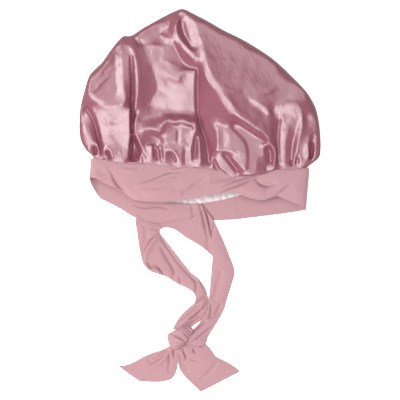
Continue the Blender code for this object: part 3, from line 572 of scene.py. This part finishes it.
def relaxSheet(lift):  # a stretched sheet over the lines: its height and its softness
    height = softness = None
    for coarse in sheet["coarseness"]:
        size = sheet["cell"] * coarse
        shape = (round(sheet["tall"] / size) + 1, round(sheet["wide"] / size) + 1)
        pinned, total, soft = pinLines(lift, size, shape)
        if height is None:
            height = np.full(shape, total[pinned].mean())
            softness = np.full(shape, soft[pinned].mean())
        else:
            halved = (np.minimum(np.arange(count) / 2, before - 1.001)
                      for count, before in zip(shape, height.shape))
            rows, columns = np.meshgrid(*halved, indexing="ij")
            height, softness = sampled(height, rows, columns), sampled(softness, rows, columns)
        for field, wanted in ((height, total), (softness, soft)):
            for _ in range(sheet["passes"]):
                field[pinned] = wanted[pinned]
                framed = np.pad(field, 1, mode="edge")
                field[:] = (framed[:-2, 1:-1] + framed[2:, 1:-1] + framed[1:-1, :-2] + framed[1:-1, 2:]) / 4
            field[pinned] = wanted[pinned]
    return height, softness


def blurred(field, spread):  # spread in cells
    reach = max(1, int(3 * spread))
    weights = np.exp(-0.5 * (np.arange(-reach, reach + 1) / spread) ** 2)
    weights /= weights.sum()
    for _ in range(2):  # down the columns, then along the rows
        framed = np.pad(field, ((reach, reach), (0, 0)), mode="edge")
        field = sum(w * framed[k:k + field.shape[0]] for k, w in enumerate(weights)).T
    return field


def softened(height, softness):  # blurred as much as the folds are soft
    levels = sheet["softLevels"]
    place = np.interp(blurred(softness, sheet["softSpread"]), levels, np.arange(len(levels)))
    return sum(blurred(height, level / sheet["cell"]) * np.clip(1 - np.abs(place - k), 0, 1)
               for k, level in enumerate(levels))


def gathered(count):  # shares from 0 to 1 that crowd at both ends
    even = np.linspace(0, 1, count + 1)
    return even - crown["crowding"] * np.sin(2 * np.pi * even) / (2 * np.pi)


def crownRim(count):  # the outer edge, from the left end of the seam round to its right end
    corners = nearSeam[:1] + outlineLeft[1:] + outlineTop[1:] + outlineRight[1:-1] + nearSeam[-1:]
    return smoothCurve(corners, count)


def crownGrid():  # the crown's plan between the seam, the two sides and the top
    dense, step = crown["sidePlaces"], crown["rimStep"]
    across = np.round(gathered(crown["columns"]) * (dense - 1)).astype(int)
    upward = np.round(gathered(crown["rows"]) ** crown["rowSpread"] * (dense - 1)).astype(int)
    near = smoothCurve(nearSeam, dense)[across]
    rim = crownRim(crown["rimPlaces"])
    corners = np.array([outlineLeft[-1], outlineTop[-1]])
    first, last = ((rim[:, None] - corners) ** 2).sum(axis=2).argmin(axis=0)
    left = smoothCurve(rim[:first + 1:step], dense)[upward]
    right = smoothCurve(rim[last:][::-step], dense)[upward]
    top = rim[first + step // 2:last - step // 2:step]
    far = smoothCurve(np.vstack([left[-1:], top, right[-1:]]), dense)[across]
    s = (across / (dense - 1))[:, None, None]
    t = (upward / (dense - 1))[None, :, None]
    bent = (1 - s) * (1 - t) * near[0] + s * (1 - t) * near[-1] + (1 - s) * t * far[0] + s * t * far[-1]
    return (1 - t) * near[:, None] + t * far[:, None] + (1 - s) * left[None] + s * right[None] - bent


def crownSurface(places):
    rim = crownRim(crown["coarseRim"])
    rimLength = np.linalg.norm(np.diff(rim, axis=0), axis=1).sum()
    edge, seam, puff = crown["edgeHeight"], crown["seamHeight"], crown["puffHeight"]

    def rimAt(spots):  # the rim is fuller in some places than in others
        away, _, along = nearestOn(rim, spots)
        fullness = ripples(np.outer(along, (rimLength, 0)), "rim")
        return rounded(away, crown["rimReach"] * (1 + crown["rimWaves"] * fullness), crown["rimPower"])

    def lift(pins):  # the level that the rounding of the rim brings to the pinned height
        return edge + (pins[:, 2] - edge) / np.maximum(rimAt(placed(pins)), crown["leastRim"])

    pulled = softened(*relaxSheet(lift))
    seen = pictured(places)
    cells = zip(cellsAt(seen, sheet["cell"]), pulled.shape)
    level = sampled(pulled, *(np.clip(cell, 0, count - 1.01) for cell, count in cells))
    creases = foldShape(crownCreases, seen, crown["creaseRounding"])
    level += creases + crown["waves"] * ripples(places, "crown waves")
    level += crown["crinkles"] * ripples(places, "crown crinkles")
    fromSeam = nearestOn(smoothCurve(nearSeam, crown["coarseSeam"]), places)[0]
    height = edge + (level - edge) * rimAt(places)
    height = seam + (height - seam) * rounded(fromSeam, crown["seamReach"])
    share = fromSeam / puff * np.exp(1 - fromSeam / puff)
    inside = np.clip((crown["mouthHalf"] - np.abs(places[:, 0])) / crown["mouthFade"], 0, 1)
    full = np.clip((level - crown["puffStart"]) / crown["puffFade"], 0, 1)
    return np.column_stack([places - np.outer(crown["overhang"] * share * inside * full, (0, 1)), height])


def makeCrown():
    columns, rows, steps = crown["columns"], crown["rows"], crown["turnSteps"]
    top = crownSurface(crownGrid().reshape(-1, 2))
    points = [top]
    faces = gridFaces(columns, rows)
    index = np.arange(len(top)).reshape(columns + 1, rows + 1)
    ring = np.concatenate([index[0], index[1:-1, -1], index[-1][::-1]])
    line = top[ring]
    inward = np.gradient(line[:, :2], axis=0)
    inward = np.stack([inward[:, 1], -inward[:, 0]], axis=1)
    for _ in range(crown["turnSmoothings"]):
        inward[1:-1] = (inward[:-2] + 2 * inward[1:-1] + inward[2:]) / 4
    inward /= np.linalg.norm(inward, axis=1)[:, None]
    inward[0], inward[-1] = (1, 0), (-1, 0)
    fromEnd = np.minimum(np.arange(len(ring)), np.arange(len(ring))[::-1]) / crown["turnEnds"]
    narrowed = crown["endTurn"] + (1 - crown["endTurn"]) * np.clip(fromEnd, 0, 1)
    depth = crown["turnDepth"] * (1 + crown["turnWaves"] * ripples(line[:, :2], "turn")) * narrowed
    total = len(top)
    for k in range(1, steps + 1):  # the rounded turn from the rim down to the floor
        angle = math.pi / 2 * k / steps
        under = line[:, :2] + inward * depth[:, None] * (1 - math.cos(angle))
        points.append(np.column_stack([under, line[:, 2] * (1 - math.sin(angle))]))
        lower = np.arange(total, total + len(ring))
        total += len(ring)
        faces += [(ring[i], ring[i + 1], lower[i + 1], lower[i]) for i in range(len(ring) - 1)]
        ring = lower
    front = smoothCurve(farSeam, crown["farPlaces"])
    points.append(np.column_stack([front, np.zeros(len(front))]))
    faces.append(tuple(ring) + tuple(range(total, total + len(front)))[::-1])
    piece = meshFrom("crown_satin", np.vstack(points), faces, satin)
    thicken(piece, crown["wall"], -1)
    return piece


crownSatin = makeCrown()
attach(crownSatin, "root")
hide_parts("crown")
print("crown made")

# band, ties and tails

# Sections of the knit strips, stretch by stretch, in mm: one edge, the other edge, and how far the middle
# stands out. The band and both ties are one ribbon.
knitSections = {
    "ribbon_knit": {
        "right tie": (
            (2, -181.5, 2.6, -18, -180, 5.6, 0.4), (7.5, -176.5, 2.6, -15.5, -173.5, 7.6, 1),
            (9.5, -170, 2.2, -13, -167, 7.8, 1.4), (14.5, -162, 2, -7, -159.5, 5.6, 1.6),
            (20, -153, 2, -0.6, -152, 4.4, 1.4), (26, -143, 2, 6.6, -142, 4, 1),
            (30, -135, 2.2, 9.8, -134, 3.6, 1.2), (32.5, -126, 2.2, 10.8, -124, 2.8, 1.4),
            (36, -115, 2, 12, -114, 1.4, 1.6), (39.5, -103, 1.6, 13, -102, 1.2, 1.6),
            (43, -88, 1.4, 14, -90, 1, 1.6), (36, -67, 1.4, 14.8, -78, 1, 1.6),
            (29, -50, 1.8, 15.4, -69.3, 1.2, 1.6), (22, -35, 2.6, 10, -64, 1.8, 1.6),
            (17, -24, 3.4, 2, -57, 2.6, 1.2), (12, -17, 3.6, -8, -51, 3.2, 1),
            (6, -8, 3.6, -18, -45, 3.3, 0.8)),
        "left half": (
            (-2, -3.2, 3.4, -30, -36.5, 3.2, 0), (-14, -3.6, 3.4, -40, -33, 3.2, 0.6),
            (-33, -2.2, 3.4, -52, -30.5, 3.2, 0.6), (-56, 2, 3.2, -68, -26, 3.1, 0.6),
            (-80, 9, 2.4, -84, -19, 3, 0.6), (-102, 18.6, 1.4, -102, -8, 1.3, 0.5),
            (-118, 29.6, 1, -116, -1, 1, 0.4)),
        "left turn": (
            (-127, 43.2, 1, -125, 4, 1, 0), (-133, 51, 3.6, -132.5, 15, 3.8, 0),
            (-135.2, 52.6, 8.2, -137, 26, 8.2, 0), (-134, 52.8, 12.8, -136.3, 29, 12.6, 0.4)),
        "near wall": (
            (-128, 55.2, 14.6, -130, 28, 15, 1.4), (-113, 51.9, 14.6, -115, 20.5, 14.6, 2.2),
            (-98, 49.4, 14.6, -102, 15, 14.4, 2.4), (-86, 48.5, 14.6, -88, 5, 14.2, 2.8),
            (-72, 48, 14.6, -76, 0.5, 14.2, 3), (-56, 47.5, 14.6, -57, -1, 14.2, 3),
            (-38, 45.2, 14.6, -39, -1, 14.2, 3), (-22, 43.6, 14.6, -22, 1, 14.4, 3),
            (-4, 43.4, 14.6, -3, 5, 14.6, 2.6), (15, 40.6, 14.6, 17, 7.5, 14.8, 2.4),
            (30, 36.2, 14.6, 33, 10.5, 15, 2), (43, 31.8, 14.6, 45, 10, 15, 2),
            (60, 34.5, 14.6, 62, 4, 14.6, 2.6), (78, 36.5, 14.6, 79, 1.5, 14.4, 2.8),
            (94, 41.2, 14.6, 95, 6, 14.4, 2.8), (112, 41.5, 14.6, 110, 0.5, 14.2, 2.6),
            (128, 43, 14.6, 123, -5, 14.4, 1.4)),
        "right turn": (
            (134.4, 40.6, 12.8, 129.8, -8.4, 12.6, 0.4), (135.7, 40, 8.2, 131.5, -10.4, 8, 0),
            (133.6, 38.6, 3.6, 129.6, -11.6, 3.6, 0), (128, 35.6, 1, 123, -12.8, 1, 0)),
        "right half": (
            (112, 29.4, 1, 110, -14.8, 1, 0.4), (88, 21, 1, 90, -17.6, 1, 0.5),
            (63, 12.6, 1, 68, -20.2, 1, 0.5), (42, 5.6, 1, 45, -23, 1, 0.3), (24, 1.2, 1, 27, -24, 1, 0),
            (9, -1.4, 1, 14, -24.4, 1, 0)),
        "left tie": (
            (-16, -5.4, 1, -10, -30, 1, 0), (-40, -6, 1, -32, -33, 1, 0), (-60, -6.5, 1, -43, -33, 1, 0),
            (-74, -12, 1, -46.5, -34, 1, 0), (-80.6, -24, 1, -49.6, -36, 1, 0),
            (-79, -36, 1.2, -50.4, -40, 2.6, 1.4), (-77, -50, 1.4, -45.4, -46.4, 2.6, 2),
            (-75, -63, 1.6, -36.8, -57.6, 2, 2.2), (-70.5, -78, 1.8, -30, -66, 1.8, 2.4),
            (-62, -87, 2, -24, -74, 1.6, 2.4), (-51, -91, 2, -17.5, -82, 1.6, 2.2),
            (-40, -95.5, 2, -11.5, -89.5, 1.6, 2), (-29, -102.5, 2, -4.5, -95, 1.6, 2),
            (-18, -107.5, 2, 2, -103, 1.6, 1.8), (-9, -113.5, 2.2, 7, -111, 1.6, 1.6),
            (-5.5, -120, 3, 9.4, -119, 1.6, 1.4), (-7, -127.5, 3.2, 11, -128, 1.3, 1.6),
            (-13.5, -133, 2.6, 9.6, -138, 1.3, 2), (-20.5, -139.5, 2.6, 4.4, -146.4, 1.3, 2.2),
            (-27, -147, 3.2, -3.8, -152, 2, 2.2), (-34, -160, 6, -12.5, -158.4, 5, 1)),
    },
    "tail_left_knit": {
        "left tail": (
            (-33, -177.5, 6, -25.5, -181.5, 6, 0), (-39, -181.7, 5.2, -26, -185.3, 4.6, 0.4),
            (-46, -185.6, 3.4, -26.5, -194, 2.2, 1.2), (-58, -189.5, 1.6, -28, -204, 1.8, 1.8),
            (-70, -194.5, 1.2, -30, -213, 1.4, 1.8), (-82, -201, 1, -36, -222, 1.2, 1.6),
            (-92, -205, 1, -52, -226, 1, 1), (-102.5, -206, 1, -76, -225, 1, 0.4)),
    },
    "tail_right_knit": {
        "right tail": (
            (-24, -177.5, 3, 2, -174.5, 1.6, 0), (-28.4, -184.8, 4.4, 8, -179.3, 1.8, 0.4),
            (-28, -193, 3.6, 14.5, -187, 1.6, 1.6), (-27.2, -201, 2, 19.5, -194, 1.4, 2),
            (-25.6, -209, 1.4, 27, -198, 1.2, 2), (-20, -218, 1, 36, -202.5, 1.2, 1.8),
            (-10, -228, 1, 45, -208.5, 1, 1.2), (1, -238.4, 1, 50, -213, 1, 0.4)),
    },
}

# Folds of each stretch, drawn downwards: rise in mm, width left and right, sharpness, then points u and v
knitFolds = {
    "near wall": {
        "left crease": (-4.8, 1.5, 2.8, 1.5, 106, 167, 111.5, 172, 115.5, 181, 121.7, 189, 128.5, 196,
            138, 202),
        "left hollow": (-2.2, 4, 4, 2, 97, 171, 104, 173, 112, 179),
        "middle crease": (3.4, 2.6, 1, 1.5, 134, 186.3, 141.6, 185, 154, 181, 168, 175.3, 182, 173.3),
        "second crease": (2.2, 2.2, 1, 1.5, 150, 186.3, 161.5, 182.6, 169, 178.7, 177, 177.4),
        "third crease": (1.8, 2.2, 1.1, 1.5, 137, 191, 150, 190.4, 160, 190.3, 166, 186.5),
        "soft valley": (-3.1, 3.5, 3.5, 2, 180, 194.5, 190, 190.5, 197, 186, 210, 177),
        "upper line left": (1.3, 1.6, 1, 1.5, 120, 169.3, 128, 170.3, 138, 170.8),
        "upper line right": (1.7, 2, 1, 1.5, 169, 171.3, 179, 169.8, 190, 166.5),
        "right ridge": (3.1, 1.4, 1.2, 1.6, 215, 191.5, 226, 187, 238, 182.8, 257, 177),
        "right line": (-2.5, 0.9, 0.9, 1.6, 220, 192.6, 231.5, 188.7, 241, 185.1, 251, 180.8, 257, 179),
        "right hollow": (-4.2, 1.6, 4, 1.5, 254, 177.5, 258, 182.5, 263.5, 185.6, 269, 186, 278, 182.5),
        "under the tongue": (-2.5, 3, 3, 2, 210, 181, 222, 178.5, 238, 177.5),
        "corner crease": (-2.8, 2.4, 1.4, 1.5, 275, 195.5, 281, 191.5, 285, 188.5, 291, 183),
        "broad swell": (2.2, 5, 5, 2, 142, 196, 158, 195, 176, 190),
        "right swell": (2, 5, 4, 2, 240, 190, 252, 192, 266, 192),
    },
    "left half": {
        "long crease": (-2, 1, 2.4, 1.5, 132, 204, 143, 207.6, 154, 206.8, 161.5, 207, 170, 209.3),
        "soft fold": (-1.7, 1.8, 4, 2, 138, 219, 152, 222, 165, 221, 178, 218.8, 194, 214.5),
        "hem": (1.7, 1, 1.4, 1.6, 134, 217.7, 145, 222.6, 163, 226.8),
        "soft upright": (-2.2, 2, 3.2, 1.8, 192.3, 203, 193.3, 213, 192.6, 226),
        "small fold one": (-2, 1, 1, 1.5, 99, 189, 101, 185, 103, 181),
        "small fold two": (-2.5, 1, 1, 1.5, 100.5, 198, 102.3, 190, 103.6, 182),
        "pleat": (-3.4, 1, 1, 1.6, 197.8, 200, 201, 209, 204, 222, 207.4, 236),
    },
    "right half": {
        "line one": (-2.5, 0.9, 1.8, 1.5, 200, 203, 214, 203.8, 224, 202.6, 233, 199.5, 244, 195.8),
        "line two": (-2.5, 0.9, 1.8, 1.5, 205, 210.4, 218, 209.5, 225, 207, 232, 202),
        "corner line": (-1.3, 1, 1, 1.5, 283, 207, 288, 203.5, 291, 201),
    },
    "right tie": {
        "pleat one": (-3.4, 1, 1, 1.6, 198.2, 201, 202, 213, 204.7, 226, 208.4, 240),
        "pleat ridge": (2.5, 0.9, 0.9, 1.6, 199.6, 201, 204, 212.5, 206.9, 225, 209.8, 238),
        "pleat two": (-3.1, 0.9, 0.9, 1.6, 200.8, 201, 205.9, 212, 209.2, 224, 211.5, 235),
        "pleat three": (-2.5, 0.9, 0.9, 1.6, 214.8, 223.5, 212.3, 231, 210.6, 239),
        "pleat four": (-1.7, 0.9, 0.9, 1.6, 216, 229, 213.8, 234.5, 211.3, 241),
        "inner step": (-3.4, 3, 0.9, 1.6, 208.6, 236, 209.6, 246, 210.6, 254, 212, 264),
        "long crease": (-2.5, 2, 3, 1.8, 221.4, 268, 218.4, 283, 215.8, 292, 212, 304),
        "short crease": (-2, 1, 1.4, 1.6, 221, 302, 218.5, 307, 215.6, 312.5),
        "inner crease": (-2.8, 0.9, 0.9, 1.6, 210.8, 302, 210.9, 310, 209.7, 318.5),
        "diagonal": (-3.4, 0.9, 2, 1.5, 206.5, 319, 215.8, 314.8, 225, 309),
        "outer line": (-3.1, 0.9, 1.6, 1.6, 213, 325.5, 203, 333.4, 195, 339.7, 187, 344.5),
        "upper line": (-3.1, 1.2, 0.9, 1.6, 207.7, 320, 203.3, 323.6, 197, 329, 190.5, 335.5),
        "knot fold": (-2, 0.8, 0.8, 1.6, 187.9, 336, 188.8, 342.5),
        "roll": (2.2, 1.5, 1.5, 1.8, 184, 346.6, 192, 348, 199, 346, 207, 341.5),
    },
    "left tie": {
        "soft upright": (-2.5, 2.5, 2, 1.8, 146.5, 224, 146, 233, 145.4, 244),
        "turned edge": (4.2, 0.9, 3.4, 1.5, 162, 230, 157.5, 235.3, 151.9, 241, 147.7, 247.3, 145, 255.5,
            144.2, 262, 147.5, 267),
        "turned edge, foot": (-3.1, 3.5, 1, 1.6, 157, 233, 150.3, 240.3, 145.7, 247, 142.9, 256,
            142.6, 262),
        "crease one": (-3.4, 1, 1.2, 1.6, 158.4, 235, 165.2, 244, 171, 252.3, 177, 260.5, 186, 271,
            195.3, 282),
        "crease two": (-3.9, 2.4, 1.3, 1.6, 160, 245, 166.7, 255.3, 172.3, 264.8, 174, 270.5, 173.2, 281),
        "roll line": (-3.6, 1, 1, 1.6, 147, 260.5, 150, 266, 155.7, 265.4, 159.5, 268, 162.5, 272.5,
            169.5, 278.8),
        "roll": (2.5, 1.1, 1.1, 1.6, 145.2, 263.5, 149.7, 269.3, 157, 270.3, 163, 275),
        "small crease": (-2.2, 1, 1, 1.5, 179, 275, 180.7, 284),
        "twist edge": (-3.6, 1, 1, 1.6, 189.8, 272, 193, 276.8, 196, 281.7, 196, 288, 194.8, 295),
        "twist crest": (2.2, 1.2, 1.6, 1.6, 193.4, 274, 198, 281, 202.5, 291),
        "twist line": (-3.6, 1, 1, 1.6, 207, 294.5, 200, 300, 192, 304.5),
        "strand dark": (-2.5, 1, 1, 1.6, 201.5, 302.5, 193.5, 309, 184.5, 316.3, 176.5, 324),
        "strand crest": (2.8, 1, 1.2, 1.6, 206.5, 299, 199, 309.3, 189, 317.4, 179, 324.5),
        "hollow": (-3.9, 1.8, 1.4, 1.8, 202, 309, 196.4, 314.3, 189, 318.7),
        "lower strand": (-2.5, 0.9, 0.9, 1.6, 205, 315, 198.2, 318.6, 190, 322.6, 182, 326),
        "outer shade": (-2.5, 2.4, 2.4, 2, 195, 303, 185, 311.5, 178, 320.5, 172.5, 331),
    },
    "left tail": {
        "crease one": (-3.9, 2, 1, 1.6, 168.5, 347, 161.3, 356.3, 156.5, 360, 152, 362.4, 146.5, 359),
        "bright ridge": (2.5, 1.6, 2.4, 1.6, 172, 349.5, 162, 359.7, 152.5, 366.6, 140, 371.5),
        "crease two": (-3.9, 1.6, 0.9, 1.6, 169.3, 352, 170.3, 363.5, 169.1, 373),
        "crease three": (-2.8, 1, 1, 1.6, 173.7, 347, 174.3, 358.5),
        "tip shade": (-2, 1.6, 1.6, 1.6, 137, 361.5, 133, 366.5, 129.5, 371.5),
        "tip fold": (-2.5, 0.9, 0.9, 1.6, 131.5, 363.5, 126.5, 366.5, 120.5, 370),
    },
    "right tail": {
        "crease one": (-4.2, 1.1, 1.3, 1.6, 182.5, 346, 184, 351.7, 186.6, 357.9, 185.2, 364, 188.9, 378),
        "crease two": (-2.5, 0.9, 0.9, 1.6, 178.5, 352, 182, 363, 187.3, 377.5),
        "dent": (-3.1, 1.1, 1.1, 1.6, 193, 348, 195.4, 353.5),
        "faint crease": (-1.3, 1, 1.6, 1.6, 186.5, 357, 193, 359.8, 200.5, 361),
        "long soft crease": (-2.5, 1.8, 1.8, 1.8, 218, 362, 209.5, 372, 200.5, 382),
    },
}
knitStrips = {
    "ribbon_knit": {
        "along": 870, "across": 50, "nodes": ("band", "tie_right", "tie_left"), "flat": (0.037, 1.02),
        "held": "folded"},
    "tail_left_knit": {
        "along": 100, "across": 60, "nodes": ("tail_left",), "flat": (0.07, 0.030), "held": "laid"},
    "tail_right_knit": {
        "along": 100, "across": 70, "nodes": ("tail_right",), "flat": (0.065, 0.042), "held": "laid"},
}
knitCloth = {"wall": 1.5, "lowest": 0.5, "waves": 0.15, "creaseRounding": 0.3}


def makeStrip(name, strip):
    stretches = np.concatenate([[stretch] * len(rows) for stretch, rows in knitSections[name].items()])
    sections = np.vstack(list(knitSections[name].values()))
    rows = smoothCurve(np.column_stack([sections, np.arange(len(sections))]), strip["along"] + 1)
    stretchAt = stretches[np.clip(np.round(rows[:, 7]).astype(int), 0, len(stretches) - 1)]
    share = np.linspace(0, 1, strip["across"] + 1)[None, :, None]
    points = rows[:, None, :3] * (1 - share) + rows[:, None, 3:6] * share
    points[..., 2] += rows[:, None, 6] * 4 * share[..., 0] * (1 - share[..., 0])
    for stretch, folds in knitFolds.items():
        here = stretchAt == stretch
        if here.any():
            folded = foldShape(folds, pictured(points[here].reshape(-1, 3)), knitCloth["creaseRounding"])
            points[here, :, 2] += folded.reshape(-1, strip["across"] + 1)
    waves = ripples(points[..., :2].reshape(-1, 2), "knit").reshape(points.shape[:2])
    points[..., 2] += knitCloth["waves"] * waves
    points[..., 2] = np.maximum(points[..., 2], knitCloth["lowest"] + knitCloth["wall"] / 2)
    piece = meshFrom(name, points.reshape(-1, 3), gridFaces(strip["along"], strip["across"]), knit)
    thicken(piece, knitCloth["wall"], 0)
    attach(piece, "root")
    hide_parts(*strip["nodes"])
    return piece


knitPieces = {name: makeStrip(name, strip) for name, strip in knitStrips.items()}
print("band, ties and tails made")

# lining

liningSheet = {
    "depth": 70.0,
    "margin": 22.0,
    "seamPlaces": 300,
    "seamStep": 10,
    "backWidth": 0.94,
    "backBow": 0.35,
    "start": 1.5,
    "wall": 0.8,
    "columns": 300,
    "rows": 100,
    "rowSpread": 1.6,
    "level": 2.4,
    "wave": 0.35,
}


def makeLining():
    front = smoothCurve(farSeam, liningSheet["seamPlaces"])
    low, high = farSeam[0][0] + liningSheet["margin"], farSeam[-1][0] - liningSheet["margin"]
    front = front[(front[:, 0] > low) & (front[:, 0] < high)][::liningSheet["seamStep"]]
    front = smoothCurve(front, liningSheet["columns"] + 1)
    back = np.stack([front[:, 0] * liningSheet["backWidth"],
                     liningSheet["backBow"] * front[:, 1] + liningSheet["depth"]], axis=1)
    share = (np.linspace(0, 1, liningSheet["rows"] + 1) ** liningSheet["rowSpread"])[None, :, None]
    plan = (front - [0, liningSheet["start"]])[:, None] * (1 - share) + back[:, None] * share
    plan = plan.reshape(-1, 2)
    points = np.column_stack([plan, liningSheet["level"] + liningSheet["wave"] * ripples(plan, "lining")])
    piece = meshFrom("lining_satin", points, gridFaces(liningSheet["columns"], liningSheet["rows"]), lining)
    thicken(piece, liningSheet["wall"], 0)
    return piece


liningSatin = makeLining()
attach(liningSatin, "root")
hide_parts("lining")
print("lining made")

# knot

knot = {
    "centre": (180.0, 337.0),
    "level": 6.5,
    "up": 9.0,
    "down": 5.5,
    "fullness": 0.8,
    "rays": 260,
    "rings": 130,
    "creaseRounding": 0.3,
    "creaseFade": 5,
}
knotOutline = ((168, 333.4), (167.2, 336.4), (168.3, 341.8), (170.2, 346.4), (174.1, 349.2), (178, 348.3),
               (181.5, 346.4), (184.4, 344.6), (187.6, 340.5), (189.8, 336.6), (191.6, 334), (193.4, 330.7),
               (192.5, 328.2), (189.4, 326.4), (184, 325.8), (179.5, 327.2), (175.5, 329.3), (171.8, 331.6))
knotFolds = {
    "lower wrap": (1.6, 4, 3, 2, 168, 341, 176, 341, 184, 342),
    "upper wrap": (1.6, 3, 3, 2, 172, 334, 181, 331.5, 190, 330),
    "wrap line": (-2.6, 0.9, 1.2, 1.6, 171, 332.8, 179.5, 336.6, 184, 339.5, 186.2, 342.6),
    "wrap hook": (-2, 0.8, 1, 1.6, 186.6, 340.4, 184.5, 344, 179, 345.3, 171, 345.7),
    "faint line": (-1, 1, 1.2, 1.6, 169, 340.8, 176, 341.4, 182, 340.8),
    "ray one": (-2, 0.7, 0.8, 1.6, 183.6, 331.6, 186, 334.3, 189, 337.4),
    "ray two": (-2, 0.7, 0.8, 1.6, 184.5, 329.6, 187.5, 331.8, 191, 335),
    "ray three": (-2, 0.7, 0.8, 1.6, 186, 328.6, 189, 330, 192.6, 332.6),
    "ray four": (-1.2, 0.7, 0.8, 1.6, 183, 327.2, 187.5, 327.6, 191, 329.3),
}


def makeKnot():  # a wound dome over the knot's outline
    centre = np.array(knot["centre"])
    outline = smoothCurve(knotOutline + knotOutline[:1], knot["rays"] + 1)[:-1]
    angles = np.linspace(0.0, math.pi, knot["rings"] + 1)
    places = (centre + (outline - centre)[None] * np.sin(angles)[:, None, None]).reshape(-1, 2)
    fall = np.cos(angles)[:, None] * np.ones(len(outline))
    rise = np.where(fall > 0, knot["up"], knot["down"])
    height = knot["level"] + rise * np.sign(fall) * np.abs(fall) ** knot["fullness"]
    folded = foldShape(knotFolds, places, knot["creaseRounding"]).reshape(height.shape)
    height += folded * np.clip(fall * knot["creaseFade"], 0, 1)
    n = len(outline)
    faces = [(i * n + k, (i + 1) * n + k, (i + 1) * n + (k + 1) % n, i * n + (k + 1) % n)
             for i in range(knot["rings"]) for k in range(n)]
    return meshFrom("knot_knit", np.column_stack([placed(places), height.reshape(-1)]), faces, knit)


knotKnit = makeKnot()
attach(knotKnit, "root")
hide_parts("knot")
print("knot made")

# floor, light and camera

studio = {
    "view": 0.5,  # metres across the picture
    "height": 3.0,
    "centre": (0.0, 0.00125),
    "lit": (0, 0.05, 0.02),  # where the lamps point
    "floorSize": 6,
    "floor": {"Base Color": (0.97, 0.97, 0.97, 1), "Roughness": 0.9, "Emission Color": (1, 1, 1, 1),
              "Emission Strength": 0.7},
    "air": {"Color": (1, 1, 1, 1), "Strength": 0.36},
    # name, place, width, height, power, colour
    "lamps": (
        ("key", (-0.46, -1.2, 1.78), 1.3, 1.3, 30, (1.0, 0.99, 0.98)),
        ("left", (-1.3, 0.2, 1.75), 1.5, 0.85, 28, (1.0, 0.99, 0.99)),
        ("overhead", (0.0, 0.8, 3.6), 3.0, 3.0, 44, (0.98, 0.99, 1.0)),
    ),
}

bpy.ops.mesh.primitive_plane_add(size=studio["floorSize"])
floor = bpy.context.object
floor.name = "floor"
floorLook = bpy.data.materials.new("pale floor")
floorLook.use_nodes = True
floor.data.materials.append(floorLook)
floor.visible_glossy = False

air = bpy.data.worlds.new("studio air")
air.use_nodes = True
bpy.context.scene.world = air
for tree, shaderName, values in ((floorLook.node_tree, "Principled BSDF", studio["floor"]),
                                 (air.node_tree, "Background", studio["air"])):
    for socketName, value in values.items():
        tree.nodes[shaderName].inputs[socketName].default_value = value

for lampName, place, width, height, power, colour in studio["lamps"]:
    lamp = bpy.data.lights.new(lampName, "AREA")
    lamp.shape = "RECTANGLE"
    lamp.size = width
    lamp.size_y = height
    lamp.energy = power
    lamp.color = colour
    holder = bpy.data.objects.new(lampName, lamp)
    holder.location = place
    holder.rotation_euler = (Vector(studio["lit"]) - Vector(place)).to_track_quat("-Z", "Y").to_euler()
    bpy.context.scene.collection.objects.link(holder)

camera = bpy.data.cameras.new("camera")
camera.sensor_width = 36
camera.lens = camera.sensor_width * studio["height"] / studio["view"]
cameraHolder = bpy.data.objects.new("camera", camera)
cameraHolder.location = (*studio["centre"], studio["height"])
bpy.context.scene.collection.objects.link(cameraHolder)
bpy.context.scene.camera = cameraHolder
bpy.context.scene.view_settings.view_transform = "Standard"
print("studio made")
